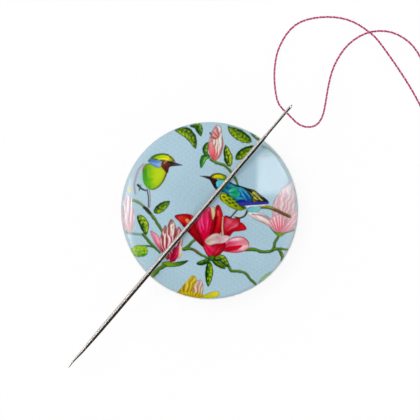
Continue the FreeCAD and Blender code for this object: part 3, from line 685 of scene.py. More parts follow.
patch([(5.3, -0.3), (6.4, -0.2), (7.8, -0.6), (9.0, -1.5), (9.9, -2.9), (9.0, -2.6), (7.6, -1.8),
       (6.3, -1.2)], ((216, 96, 130), (222, 190, 180), (216, 206, 200), (222, 212, 220)), ((9.8, -2.9),
       (5.4, -0.3)), **{**pale, "keyline": (108, 96, 88), "lines": 30})
stroke([(8.9, -2.1), (9.2, -2.5)], 0.4, (222, 70, 130), (226, 110, 150))
stroke([(6.0, -0.5), (7.6, -0.8), (8.8, -1.5)], 0.12, (120, 112, 110), taper=0.1)
patch([(9.6, -3.1), (8.6, -2.2), (8.5, -1.4), (9.2, -0.7), (10.0, -0.6), (10.6, -1.6), (10.4, -2.8)],
      ((226, 100, 126), (226, 150, 160), (218, 184, 190)), ((9.8, -3.1), (9.4, -0.6)),
      **{**pale, "streak": (196, 84, 100)})
patch([(10.0, -3.1), (10.6, -1.8), (11.4, -0.6), (12.4, 0.2), (12.9, -0.8), (12.3, -2.2), (11.2, -3.0)],
      ((226, 120, 140), (232, 168, 180), (226, 186, 196)), ((10.0, -3.1), (12.4, 0.1)), **pale)
patch([(8.5, -2.4), (9.2, -2.95), (9.7, -3.1), (10.3, -3.15), (10.9, -3.0), (10.2, -3.6), (9.6, -3.6),
       (9.0, -3.0)], ((40, 96, 14), (96, 142, 24), (140, 160, 96)), ((8.6, -2.6), (10.9, -3.1)),
      keyline=(44, 92, 24))

# Red magnolia in the middle.
red, crimson = (206, 4, 16), (140, 0, 12)
glow = {"keyline": (96, 2, 10), "weight": 0.11, "shade": crimson}
patch([(1.7, -3.2), (1.9, -1.6), (2.2, -0.7), (3.2, -1.1), (4.2, -1.1), (4.4, -1.9), (5.1, -2.5), (4.2, -2.8),
       (3.5, -2.9), (2.6, -3.7)], ((120, 0, 8), (204, 60, 84), (222, 96, 120), (196, 40, 56)),
      ((1.8, -3.4), (4.2, -1.3)),
      streak=(176, 0, 24), lines=20, strength=0.6, **glow)
patch([(2.1, -3.5), (3.0, -2.7), (3.9, -2.3), (4.5, -1.7), (5.2, -2.6), (4.2, -2.9), (3.4, -3.0),
       (2.7, -3.7)], (crimson, red, (216, 26, 44)), ((2.1, -3.6), (5.1, -2.4)), **glow)
patch([(-4.9, -0.8), (-3.8, -0.5), (-2.5, -0.65), (-1.6, -1.6), (-1.1, -2.9), (-0.7, -4.2), (-0.9, -5.1),
       (-2.1, -4.0), (-3.3, -2.7), (-4.2, -1.6)], ((110, 0, 8), (186, 2, 12), (180, 2, 14)),
      ((-0.8, -5.0), (-4.4, -0.8)), streak=(104, 0, 10), lines=30, strength=0.6, **glow)
patch([(-4.5, -1.0), (-3.6, -0.8), (-2.9, -1.3), (-3.5, -1.8)], ((206, 60, 40), (190, 10, 10)),
      ((-4.5, -1.0), (-3.2, -1.6)))
patch([(-3.4, -1.3), (-3.0, -1.2), (-2.6, -1.8), (-2.9, -2.1)], ((222, 170, 80), (226, 90, 40)),
      ((-3.3, -1.3), (-2.7, -2.1)))
stroke([(-2.0, -1.4), (-1.5, -2.6), (-1.1, -3.9), (-0.9, -4.8)], 0.3, (110, 0, 10), taper=0.2)
stroke([(-3.4, -2.5), (-2.3, -3.7), (-1.3, -4.7)], 0.16, (120, 0, 8), taper=0.3)
stroke([(-2.6, -0.7), (-2.0, -1.6), (-1.7, -2.6)], 0.14, (226, 40, 30), taper=0.5)
patch([(-0.7, -4.7), (-1.5, -3.0), (-1.8, -1.4), (-1.4, -0.1), (-0.6, 0.7), (0.1, 0.3), (0.4, -1.2),
       (0.3, -2.8), (-0.1, -3.9)], ((160, 0, 26), (214, 12, 70), (232, 40, 112), (228, 110, 130)),
      ((-0.6, -4.7), (-0.6, 0.7)), streak=(196, 0, 44), lines=26, strength=0.8, keyline=(140, 0, 20),
      weight=0.2, gleam=(236, 76, 136))
stroke([(-0.9, 0.1), (-1.1, -1.2), (-0.8, -2.6)], 0.3, (240, 96, 150), taper=0.6)
stroke([(-0.1, -0.2), (0.0, -1.4), (-0.2, -2.8), (-0.5, -4.0)], 0.26, (190, 0, 40), taper=0.4)
patch([(0.2, 0.4), (0.7, 0.4), (0.8, -0.6), (0.5, -1.4), (0.3, -0.8)], ((206, 186, 130), (216, 196, 164)),
      ((0.5, -1.4), (0.4, 0.4)), keyline=(140, 50, 40), weight=0.07)
patch([(0.1, -3.7), (0.3, -1.9), (0.8, -0.6), (0.9, 0.5), (1.35, 0.75), (1.8, -0.3), (1.95, -1.6),
       (1.7, -2.9), (1.1, -3.5)], (crimson, (190, 4, 20), (222, 28, 36), (206, 20, 34)), ((0.6, -3.6),
       (1.3, 0.7)), streak=(136, 0, 14), lines=22, strength=0.7, **glow)
patch([(0.75, -2.9), (1.15, -1.7), (1.3, -0.3), (1.5, -1.6), (1.2, -2.9)], ((180, 0, 16), (226, 40, 50)),
      ((0.8, -2.9), (1.35, -0.4)))
stroke([(1.2, -0.1), (1.2, -0.7)], 0.22, (240, 90, 100))
stroke([(0.35, -3.6), (0.75, -2.2), (0.95, -0.8)], 0.3, (104, 0, 8), taper=0.3)
stroke([(1.9, -3.4), (1.8, -2.4), (1.9, -0.9)], 0.19, (206, 170, 130), (216, 196, 160), taper=0.2,
       keyline=(120, 30, 30))
patch([(1.4, -4.9), (2.4, -4.3), (3.3, -3.8), (4.6, -3.7), (5.5, -4.4), (5.4, -5.4), (4.3, -5.9), (2.9, -5.9),
       (1.6, -5.6)], ((176, 0, 20), (224, 140, 164), (236, 184, 198), (206, 150, 140)), ((1.4, -5.2),
       (5.5, -4.6)), streak=(196, 20, 60), lines=20, strength=0.75, keyline=(120, 40, 40), weight=0.12,
      gleam=(240, 190, 206))
patch([(2.2, -5.3), (3.3, -5.0), (4.6, -4.9), (3.9, -5.5), (2.6, -5.7)], ((176, 0, 14), (214, 10, 50)),
      ((2.2, -5.4), (4.6, -5.0)), keyline=(130, 0, 16))
patch([(-0.8, -4.4), (-0.3, -4.6), (1.1, -4.6), (2.2, -4.6), (2.0, -5.6), (1.1, -6.4), (0.1, -6.65),
       (-0.5, -6.0), (-0.9, -5.1)], ((144, 0, 16), (206, 46, 84), (170, 0, 20)), ((0.1, -6.6), (0.8, -4.5)),
      streak=(150, 0, 20), lines=26, strength=0.8, **glow)
patch([(-0.7, -5.0), (-0.2, -4.9), (0.5, -5.2), (0.4, -6.0), (0.1, -6.4), (-0.4, -5.9)],
      ((222, 50, 96), (214, 20, 66)), ((-0.6, -5.0), (0.2, -6.3)), streak=(180, 0, 40), lines=14)
patch([(-0.7, -4.3), (0.1, -3.5), (0.9, -3.2), (1.7, -3.4), (2.7, -3.6), (2.7, -4.1), (1.9, -4.6),
       (0.9, -4.7), (-0.1, -4.9)], ((184, 170, 134), (206, 190, 180), (198, 168, 176), (220, 200, 208)),
      ((-0.7, -4.5), (2.7, -3.8)), streak=(176, 128, 124), lines=18, strength=0.5, keyline=(150, 60, 56),
      weight=0.08)
stroke([(1.0, -3.7), (1.4, -4.1), (1.3, -4.5)], 0.12, (206, 110, 124))
patch([(-0.1, -6.5), (0.3, -6.3), (0.7, -6.5), (0.5, -7.0), (0.1, -7.1)], ((40, 84, 30), (70, 120, 34)),
      ((0.0, -6.9), (0.6, -6.5)), keyline=leaf_dark)

# Songbird on the left, seen from behind its shoulder.
stroke([(-9.3, 6.5), (-10.0, 5.7), (-10.35, 4.6), (-10.6, 3.5), (-10.4, 2.4)], 0.34, (140, 136, 148),
       (176, 170, 180), taper=0.2)
stroke([(-8.8, 3.0), (-8.6, 1.8), (-8.6, 0.5)], 0.17, (72, 50, 58), taper=0.1)
stroke([(-8.5, 3.0), (-8.35, 1.8), (-8.4, 0.4)], 0.1, (120, 96, 100), taper=0.1)
stroke([(-9.2, 0.4), (-8.7, 0.1), (-8.3, -0.4)], 0.42, (44, 30, 30), taper=0.4)
stroke([(-10.1, 3.6), (-9.6, 3.1), (-9.0, 2.8)], 0.32, (24, 34, 30), (40, 60, 44))
stroke([(-9.9, 2.9), (-9.7, 3.6)], 0.2, (60, 84, 76))
patch([(-11.6, 3.2), (-11.2, 3.3), (-11.0, 2.8), (-11.4, 2.6)], ((198, 192, 110), (206, 200, 140)),
      ((-11.6, 3.2), (-11.0, 2.7)))
stroke([(-9.3, 5.7), (-9.5, 4.8), (-9.3, 3.9), (-8.9, 3.3)], 0.34, (150, 196, 176), (112, 180, 140),
       taper=0.3)
patch([(-9.35, 5.4), (-9.3, 4.2), (-8.8, 3.3), (-8.0, 2.9), (-7.1, 3.4), (-6.4, 4.3), (-6.0, 5.3),
       (-6.4, 6.1), (-7.4, 6.4), (-8.6, 6.6), (-9.2, 6.1)], ((60, 150, 20), (104, 174, 4), (168, 198, 0),
       (182, 204, 0), (196, 196, 4)), ((-9.4, 4.4), (-6.1, 4.9)), shade=(84, 132, 6), keyline=(70, 84, 20),
      weight=0.1)
stroke([(-6.05, 5.4), (-6.4, 4.4), (-7.1, 3.4), (-7.9, 2.95)], 0.2, (70, 60, 20), taper=0.5)
patch([(-9.3, 5.2), (-9.2, 4.1), (-8.7, 3.4), (-8.2, 3.2), (-8.5, 4.0), (-8.8, 5.0), (-8.9, 6.0)],
      ((52, 140, 20), (90, 170, 10)), ((-9.3, 4.8), (-8.4, 4.4)))
stroke([(-8.9, 6.5), (-9.35, 5.9), (-9.4, 5.2)], 0.24, (120, 110, 50), taper=0.5)
patch([(-8.6, 6.9), (-8.0, 7.3), (-7.2, 7.0), (-6.4, 6.9), (-6.8, 6.3), (-7.3, 6.05), (-8.1, 6.4)],
      ((84, 124, 190), (104, 152, 204), (172, 200, 214)), ((-8.6, 6.9), (-6.5, 6.7)), streak=(60, 100, 176),
      lines=14, keyline=(70, 92, 120), weight=0.05)
patch([(-8.2, 7.3), (-7.5, 7.8), (-6.4, 7.95), (-5.5, 7.7), (-5.0, 7.1), (-5.4, 6.8), (-6.3, 6.9),
       (-7.3, 7.1)], ((96, 158, 10), (150, 190, 6), (210, 206, 0), (140, 140, 10)), ((-8.2, 7.3),
       (-5.0, 7.1)), keyline=(44, 60, 12), weight=0.17)
stroke([(-7.2, 7.2), (-6.4, 7.35), (-5.7, 7.2)], 0.14, (226, 224, 20), taper=0.3)
stroke([(-8.6, 7.0), (-7.9, 7.7), (-6.8, 8.0), (-5.8, 7.9)], 0.17, (52, 84, 24), taper=0.3)
stroke([(-5.6, 7.6), (-5.1, 7.2), (-4.9, 6.9)], 0.2, (90, 90, 6), taper=0.2)
patch([(-6.6, 6.95), (-5.8, 6.95), (-5.2, 6.8), (-5.3, 6.3), (-5.7, 6.0), (-5.9, 5.3), (-6.4, 5.7),
       (-6.8, 6.3)], ((122, 60, 20), (84, 20, 4), (60, 6, 10)), ((-6.6, 6.8), (-5.7, 5.5)),
      keyline=(44, 10, 10), weight=0.1)
patch([(-5.5, 6.85), (-4.8, 6.75), (-4.3, 6.55), (-3.8, 6.4), (-4.6, 6.3), (-5.4, 6.3)],
      ((40, 8, 10), (84, 60, 88), (60, 36, 56)), ((-5.5, 6.6), (-3.8, 6.4)), keyline=(26, 8, 16), weight=0.11)
stroke([(-6.1, 6.75), (-5.5, 6.8), (-4.9, 6.7)], 0.16, (28, 6, 4), taper=0.3)
patch([(-5.9, 6.9), (-5.65, 6.95), (-5.55, 6.75), (-5.75, 6.6)], ((20, 10, 10), (30, 16, 10)),
      ((-5.9, 6.8), (-5.5, 6.8)))
stroke([(-6.35, 6.75), (-5.95, 6.95)], 0.28, (156, 112, 96))
stroke([(-5.8, 6.85), (-5.6, 6.85)], 0.22, (14, 8, 8))

# Songbird on the right, perched above the magnolia, seen from its left side.
stroke([(3.9, 0.1), (3.4, -0.5), (2.9, -1.0)], 0.2, (24, 20, 12), taper=0.2)
stroke([(5.3, 0.0), (5.0, -0.7), (4.3, -1.05), (3.6, -0.9)], 0.26, (40, 44, 20), taper=0.2)
stroke([(3.0, -1.0), (2.3, -0.8)], 0.2, (30, 24, 16))
stroke([(3.6, -0.75), (4.3, -0.85)], 0.16, (214, 206, 190))
stroke([(7.0, 0.5), (8.2, 0.45), (9.3, 0.1), (10.4, -0.45), (11.3, -0.85)], 0.36, (66, 72, 10),
       (176, 176, 50), taper=0.1, keyline=(60, 60, 20))
stroke([(9.1, 0.1), (9.9, -0.2), (10.6, -0.55), (11.3, -0.85)], 0.4, (84, 60, 44), (120, 88, 70), taper=0.3)
patch([(5.2, 0.1), (6.0, 0.6), (7.2, 0.6), (7.0, 0.0), (6.0, -0.3)], ((96, 176, 190), (128, 190, 186)),
      ((5.2, 0.1), (7.2, 0.3)), keyline=(60, 100, 90))
patch([(1.6, 2.4), (1.5, 1.6), (2.3, 0.9), (3.2, 0.3), (4.3, 0.0), (5.2, 0.3), (4.6, 0.9), (3.8, 1.6),
       (2.6, 2.3)], ((190, 196, 0), (150, 172, 4), (136, 152, 8), (84, 106, 12)), ((1.5, 2.0), (5.2, 0.3)),
      keyline=(50, 66, 10), weight=0.12)
for x, y in ((1.95, 1.95), (2.5, 2.1), (2.95, 1.95), (2.3, 1.45), (2.75, 1.6), (3.3, 1.6), (2.7, 1.1),
             (3.2, 1.15), (3.7, 1.2), (3.6, 0.7), (4.2, 0.75), (4.6, 0.5)):
    stroke([(x, y), (x + 0.24, y - 0.12)], 0.21, (22, 48, 14), taper=0.2)
patch([(0.8, 3.7), (1.2, 4.3), (2.2, 4.3), (3.2, 3.6), (4.4, 3.3), (5.4, 2.9), (6.0, 2.2), (6.0, 1.1),
       (5.2, 0.8), (4.2, 1.0), (3.3, 1.7), (2.2, 2.5), (1.3, 2.6)], ((76, 168, 186), (22, 124, 146),
       (12, 102, 134), (12, 80, 146)), ((0.8, 3.9), (5.8, 1.4)), streak=(10, 70, 120), lines=30, strength=0.6,
      keyline=(14, 50, 76), weight=0.1, gleam=(90, 190, 214))
patch([(0.9, 3.9), (1.5, 4.3), (2.3, 4.2), (2.4, 3.6), (1.8, 3.1), (1.2, 3.2)],
      ((96, 196, 208), (70, 182, 196)), ((1.0, 4.0), (2.3, 3.6)))
patch([(2.8, 3.0), (3.6, 3.2), (4.4, 2.6), (4.0, 1.9), (3.2, 1.8), (2.8, 2.3)], ((90, 196, 170),
       (20, 160, 80), (50, 176, 170)), ((2.8, 2.4), (4.4, 2.4)), streak=(20, 110, 110), lines=12)
patch([(3.8, 1.3), (4.6, 1.5), (5.4, 1.5), (6.0, 1.1), (5.2, 0.7), (4.2, 0.8)], ((10, 60, 150), (60, 70, 170),
       (20, 110, 190)), ((3.8, 1.2), (6.0, 1.1)), streak=(10, 20, 100), lines=16, keyline=(6, 24, 90))
for x, y in ((4.3, 2.5), (4.6, 1.9), (5.1, 2.2)):
    stroke([(x - 0.3, y + 0.35), (x + 0.1, y), (x + 0.45, y - 0.5)], 0.16, (8, 60, 140), taper=0.5)
    stroke([(x - 0.1, y + 0.4), (x + 0.3, y), (x + 0.6, y - 0.45)], 0.12, (90, 190, 220), taper=0.5)
patch([(4.6, 3.3), (5.4, 3.1), (6.4, 2.8), (7.2, 2.2), (8.2, 1.4), (8.1, 1.0), (6.9, 1.0), (6.0, 1.1),
       (5.9, 1.9), (5.3, 2.7)], ((40, 40, 20), (160, 160, 50), (50, 50, 24), (24, 24, 40)), ((5.2, 3.0),
       (8.0, 1.0)), streak=(16, 16, 10), lines=36, strength=0.95, keyline=(14, 14, 20), weight=0.15)
for x, y in ((6.3, 2.4), (6.8, 2.0), (6.5, 1.7), (7.2, 1.6)):
    stroke([(x - 0.2, y + 0.1), (x + 0.25, y - 0.2)], 0.16, (214, 214, 90))
stroke([(5.4, 0.6), (6.6, 0.68), (7.8, 0.75)], 0.14, (226, 222, 236), taper=0.1)
stroke([(4.4, 0.85), (5.8, 0.95), (7.0, 1.0), (8.2, 1.1)], 0.3, (40, 34, 140), (66, 60, 176), taper=0.2,
       keyline=(24, 20, 96))
stroke([(2.6, 4.1), (3.4, 3.65), (4.3, 3.4), (5.4, 3.05), (6.3, 2.85)], 0.2, (16, 30, 30), taper=0.3)
patch([(0.0, 4.6), (0.5, 5.0), (1.3, 5.15), (2.2, 4.9), (2.5, 4.4), (1.9, 4.3), (1.2, 4.5), (0.5, 4.4)],
      ((100, 70, 10), (206, 190, 0), (190, 200, 0), (70, 96, 10)), ((0.0, 4.6), (2.5, 4.5)),
      keyline=(34, 40, 8), weight=0.15)
stroke([(0.0, 4.7), (0.6, 5.1), (1.4, 5.2), (2.3, 4.9)], 0.15, (58, 60, 10), taper=0.2)
patch([(0.0, 4.5), (0.7, 4.55), (1.1, 4.3), (0.9, 3.9), (1.0, 3.2), (1.2, 2.7), (0.7, 3.2), (0.3, 3.9)],
      ((50, 16, 6), (20, 10, 14), (24, 50, 60)), ((0.0, 4.5), (1.1, 2.8)), keyline=(14, 8, 12), weight=0.1)
patch([(-1.3, 4.85), (-0.6, 4.85), (0.1, 4.75), (0.3, 4.4), (-0.2, 4.45), (-0.8, 4.7)],
      ((44, 14, 16), (60, 36, 44)), ((0.2, 4.6), (-1.3, 4.85)), keyline=(20, 8, 12), weight=0.1)
patch([(0.7, 4.45), (0.95, 4.45), (1.0, 4.2), (0.75, 4.15)], ((140, 60, 20), (20, 14, 12)),
      ((0.7, 4.45), (0.95, 4.2)))

# A pale wash painted over the print towards its sides at the rim stands for the haze of light reflected
# there, a painted reflection; fine specks lie in its ink.
painted_haze_start, painted_haze_width, painted_haze = 11.0, 1.3, 0.4
far_out = np.hypot(place[:, 0], 0.9 * place[:, 1])
lay(np.arange(len(place)), np.clip((far_out - painted_haze_start) / painted_haze_width, 0, 1) * painted_haze, (210, 214, 214))
ink *= 1 + 0.035 * waves(place, 0.34, 6)[:, None] * np.clip(1.25 - ink.mean(1, keepdims=True), 0.3, 1)
ink = np.clip(ink, 0, 1)
linear_ink = np.where(ink <= 0.04045, ink / 12.92, ((ink + 0.055) / 1.055) ** 2.4)

paper_mesh = bpy.data.meshes.new("garden_print")
paper_mesh.from_pydata([tuple(co * mm for co in point) for point in paper_points], [], triangles)
colours = np.ones((len(paper_points), 4), np.float32)
colours[:, :3] = 0.86
colours[:len(place), :3] = linear_ink
layer = paper_mesh.color_attributes.new("ink", "FLOAT_COLOR", "POINT")
layer.data.foreach_set("color", colours.ravel())
paper_mesh.shade_smooth()
facing_out(paper_mesh)

print_ink, tree, shader = new_material("printed paper", Roughness=0.9, Specular_IOR_Level=0.0)
laid_ink = linked(tree, "ShaderNodeVertexColor", layer_name="ink")
place_node = tree.nodes.new("ShaderNodeTexCoord")
fibres = linked(tree, "ShaderNodeTexNoise", {"Vector": place_node.outputs["Object"], "Scale": 5200.0,
                                             "Detail": 3.0, "Roughness": 0.7})
uneven = linked(tree, "ShaderNodeMapRange", {"Value": fibres.outputs[0], "From Min": 0.3, "From Max": 0.7,
                                             "To Min": 0.95, "To Max": 1.05})
printed = linked(tree, "ShaderNodeVectorMath", {0: laid_ink.outputs[0]}, operation="SCALE")
tree.links.new(uneven.outputs[0], printed.inputs["Scale"])
tree.links.new(printed.outputs[0], shader.inputs["Base Color"])
relief = linked(tree, "ShaderNodeBump", {"Height": fibres.outputs[0], "Strength": 0.15, "Distance": 1e-5})
tree.links.new(relief.outputs[0], shader.inputs["Normal"])
paper_mesh.materials.append(print_ink)

paper = bpy.data.objects.new("garden_print", paper_mesh)
scene.collection.objects.link(paper)
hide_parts("printed_paper")
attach(paper, "badge")

# ===================================================================================================
# Clear film: a thin polyester round pressed on over the print, wrapped under the back with it.
# It makes the badge glossy: its outer side mirrors, and the print shows through it.
film = bpy.data.materials.new("clear film")
film.use_nodes = True
tree = film.node_tree
gloss = tree.nodes["Principled BSDF"]
gloss.inputs["Base Color"].default_value = (1, 1, 1, 1)
gloss.inputs["Metallic"].default_value = 1.0
add_marks(tree, gloss, 0.35, 0.035, 0.05, 1e-6)
clear = linked(tree, "ShaderNodeBsdfTransparent", {0: (1, 1, 1, 1)})
mirror = linked(tree, "ShaderNodeFresnel", {"IOR": 1.28})
side = tree.nodes.new("ShaderNodeNewGeometry")
outer_side = linked(tree, "ShaderNodeMath", {0: 1.0, 1: side.outputs["Backfacing"]}, operation="SUBTRACT")
reflected = linked(tree, "ShaderNodeMath", {0: mirror.outputs[0], 1: outer_side.outputs[0]},
                   operation="MULTIPLY")
surface = linked(tree, "ShaderNodeMixShader", {0: reflected.outputs[0], 1: clear.outputs[0],
                                               2: gloss.outputs[0]})
tree.links.new(surface.outputs[0], tree.nodes["Material Output"].inputs["Surface"])

cover_film = turned_piece("glossy_film", formed_section(0, film_thickness, True, dome_steps=56), film,
                          turns=192)
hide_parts("clear_film")
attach(cover_film, "badge")

# ===================================================================================================
# Needle: a long darner drawn from steel wire, ground to a point, its head pressed flat and pierced.
# The flats stand upright, so the eye runs across; a shallow gutter leads the thread into it.
needle_length, needle_radius = 48.5 * mm, 0.345 * mm
point_length, point_blunt = 9 * mm, 0.08 * mm
head_half_height, head_half_width = 0.425 * mm, 0.215 * mm
eye_start, eye_end, eye_width = 44.1 * mm, 47.4 * mm, 0.47 * mm
swell_start, flats_start, end_round = 42.1 * mm, 40.0 * mm, 0.5 * mm
gutter_depth, gutter_width = 0.035 * mm, 0.15 * mm
gutter_start, gutter_full, gutter_fading, gutter_end = 42.3 * mm, 43.9 * mm, 47.7 * mm, 48.3 * mm
# The end of the head rounds off, more across its flats than along them.
end_closing, flats_closing = 0.62, 1.6
# The very point is ground a little to one side.
point_aside, aside_length = 0.06 * mm, 2.6 * mm
needle_angle = math.radians(49.6)
needle_reach, needle_offset = 18.8 * mm, 0.8 * mm
needle_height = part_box("needle")[1].z - head_half_height
along_needle = Vector((math.cos(needle_angle), math.sin(needle_angle), 0))
across_needle = Vector((-along_needle.y, along_needle.x, 0))
needle_foot = across_needle * needle_offset + Vector((0, 0, needle_height))


def eased(x, start, end):
    """0 before the start, 1 after the end and smooth between them."""
    share = min(max((x - start) / (end - start), 0), 1)
    return share * share * (3 - 2 * share)


def on_needle(x, y, z):
    """A place measured from the needle's point, moved to where the needle lies."""
    along = x - needle_length + needle_reach
    return needle_foot + along_needle * along + across_needle * y + Vector((0, 0, z))


stations = np.concatenate([point_blunt * np.array([0.0, 0.15, 0.5]), np.linspace(0.1 * mm, point_length, 40),
                           np.linspace(point_length, flats_start, 26)[1:],
                           np.linspace(flats_start, needle_length - end_round, 110)[1:],
                           needle_length - end_round * (1 - np.sin(np.radians(np.linspace(15, 90, 6))))])
around = np.linspace(0, 2 * math.pi, 48, endpoint=False)
shape = bmesh.new()
loops = []
for x in stations:
    grind = 1 - (1 - point_blunt / needle_radius) * (1 - min(x / point_length, 1)) ** 2
    tip = math.sqrt(min(1, max(x, 0.002 * mm) / point_blunt))
    end = max(0, (x - needle_length + end_round) / end_round)
    rounded = 1 - end_closing * (1 - math.sqrt(max(0, 1 - end ** 2)))
    radius = needle_radius * grind * tip
    high = (radius + (head_half_height - needle_radius) * eased(x, swell_start, eye_start)) * rounded
    wide = radius - (needle_radius - head_half_width) * eased(x, flats_start, eye_start)
    wide *= rounded ** flats_closing
    aside = point_aside * math.sin(math.pi * min(x / aside_length, 1))
    square = 2 + 1.2 * eased(x, flats_start + 1 * mm, eye_start)
    gutter = gutter_depth * (eased(x, gutter_start, gutter_full) - eased(x, gutter_fading, gutter_end))
    loop = []
    for turn in around:
        c, s = math.cos(turn), math.sin(turn)
        y = wide * math.copysign(abs(c) ** (2 / square), c)
        z = high * math.copysign(abs(s) ** (2 / square), s)
        y -= math.copysign(gutter * math.exp(-(z / gutter_width) ** 2), c) if abs(c) > 0.05 else 0
        loop.append(shape.verts.new((x, y + aside, z)))
    loops.append(loop)
for one, other in zip(loops, loops[1:]):
    for k in range(len(around)):
        shape.faces.new((one[k - 1], other[k - 1], other[k], one[k]))
shape.faces.new(loops[0])
shape.faces.new(loops[-1])
bmesh.ops.recalc_face_normals(shape, faces=shape.faces)
wire_mesh = bpy.data.meshes.new("needle_wire")
shape.to_mesh(wire_mesh)
shape.free()

slot = bmesh.new()
slot_radius = eye_width / 2
slot_outline = (arc((eye_end - slot_radius, 0), slot_radius, -90, 90, 16)
                + arc((eye_start + slot_radius, 0), slot_radius, 90, 270, 16))
sides = [[slot.verts.new((x, y, z)) for x, z in slot_outline] for y in (-1 * mm, 1 * mm)]
for k in range(len(slot_outline)):
    slot.faces.new((sides[0][k - 1], sides[1][k - 1], sides[1][k], sides[0][k]))
for face in sides:
    slot.faces.new(face)
bmesh.ops.recalc_face_normals(slot, faces=slot.faces)
punch_mesh = bpy.data.meshes.new("eye_punch")
slot.to_mesh(punch_mesh)
slot.free()

steel, tree, shader = new_material("polished needle steel", Base_Color=(0.76, 0.71, 0.67, 1), Metallic=1.0)
place_node = tree.nodes.new("ShaderNodeTexCoord")
lined_up = linked(tree, "ShaderNodeMapping", {"Vector": place_node.outputs["Object"],
                                              "Rotation": (0, 0, -needle_angle)})
drawn = linked(tree, "ShaderNodeMapping", {"Vector": lined_up.outputs[0], "Scale": (260, 26000, 26000)})
lines = linked(tree, "ShaderNodeTexNoise", {"Vector": drawn.outputs[0], "Scale": 1.0, "Detail": 3.0})
cloudy = linked(tree, "ShaderNodeTexNoise", {"Vector": place_node.outputs["Object"], "Scale": 700.0,
                                             "Detail": 3.0})
both = linked(tree, "ShaderNodeMath", {0: lines.outputs[0], 1: cloudy.outputs[0]}, operation="MULTIPLY")
rough = linked(tree, "ShaderNodeMapRange", {"Value": both.outputs[0], "From Min": 0.1, "From Max": 0.45,
                                            "To Min": 0.20, "To Max": 0.32})
tree.links.new(rough.outputs[0], shader.inputs["Roughness"])
relief = linked(tree, "ShaderNodeBump", {"Height": lines.outputs[0], "Strength": 0.25, "Distance": 2e-6})
tree.links.new(relief.outputs[0], shader.inputs["Normal"])

wire = bpy.data.objects.new("needle_wire", wire_mesh)
punch = bpy.data.objects.new("eye_punch", punch_mesh)
for item in (wire, punch):
    scene.collection.objects.link(item)
piercing = wire.modifiers.new("eye", "BOOLEAN")
piercing.operation, piercing.object, piercing.solver = "DIFFERENCE", punch, "EXACT"
polishing = wire.modifiers.new("polished edges", "BEVEL")
polishing.width, polishing.segments, polishing.limit_method = 0.03 * mm, 3, "ANGLE"
polishing.angle_limit = math.radians(40)
bpy.context.view_layer.update()
needle_mesh = bpy.data.meshes.new_from_object(wire.evaluated_get(bpy.context.evaluated_depsgraph_get()))
for item in (wire, punch):
    bpy.data.objects.remove(item)
for vertex in needle_mesh.vertices:
    vertex.co = on_needle(*vertex.co)
needle_mesh.name = "long_needle"
facing_out(needle_mesh)
needle_mesh.shade_smooth()
needle_mesh.materials.clear()
needle_mesh.materials.append(steel)
needle = bpy.data.objects.new("long_needle", needle_mesh)
scene.collection.objects.link(needle)
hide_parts("needle")
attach(needle, "threaded_needle")

# ===================================================================================================
# Thread: one length of two-ply cotton, a crimson ply and a dusty pink one, drawn through the eye.
# The long side runs round to a small wound coil of the spare length; the short side is its tail.
thread_diameter, lying_height = 0.32 * mm, 0.17 * mm
eye_place = on_needle(eye_end - thread_diameter / 2 - 0.05 * mm, 0, 0)


def thread_line(name, places):
    """A smooth thread line through control points."""
    curve = bpy.data.curves.new(name, "CURVE")
    curve.dimensions = "3D"
    spline = curve.splines.new("NURBS")
    spline.points.add(len(places) - 1)
    for point, at in zip(spline.points, places):
        point.co = (*at, 1)
    spline.order_u = 3
    spline.use_endpoint_u = True
    spline.resolution_u = 8
    return curve


def from_eye(route):
    """Places of a route given from the eye, in millimetres, with the share of the eye's height."""
    drop = eye_place.z - lying_height
    return [(eye_place.x + x * mm, eye_place.y + y * mm, lying_height + share * drop)
            for x, y, share in route]


plying = new_geometry_tree("ply a thread")
input_socket(plying, "Diameter", "NodeSocketFloat", thread_diameter)
input_socket(plying, "Pitch", "NodeSocketFloat", 0.95 * mm)
input_socket(plying, "Step", "NodeSocketFloat", 0.09 * mm)
input_socket(plying, "Material", "NodeSocketMaterial")
given = plying.nodes.new("NodeGroupInput")
line = linked(plying, "GeometryNodeMeshToCurve", {0: given.outputs["Geometry"]})
even = linked(plying, "GeometryNodeResampleCurve",
              {"Curve": line.outputs[0], "Length": given.outputs["Step"]}, mode="LENGTH")
gone = plying.nodes.new("GeometryNodeSplineParameter")
share = linked(plying, "ShaderNodeMath", {0: gone.outputs["Length"], 1: given.outputs["Pitch"]},
               operation="DIVIDE")
normal = plying.nodes.new("GeometryNodeInputNormal")
tangent = plying.nodes.new("GeometryNodeInputTangent")
binormal = linked(plying, "ShaderNodeVectorMath", {0: tangent.outputs[0], 1: normal.outputs[0]},
                  operation="CROSS_PRODUCT")
reach = linked(plying, "ShaderNodeMath", {0: given.outputs["Diameter"], 1: 0.2}, operation="MULTIPLY")
thickness = linked(plying, "ShaderNodeMath", {0: given.outputs["Diameter"], 1: 0.28}, operation="MULTIPLY")
section = linked(plying, "GeometryNodeCurvePrimitiveCircle",
                 {"Resolution": 8, "Radius": thickness.outputs[0]})
plies = []
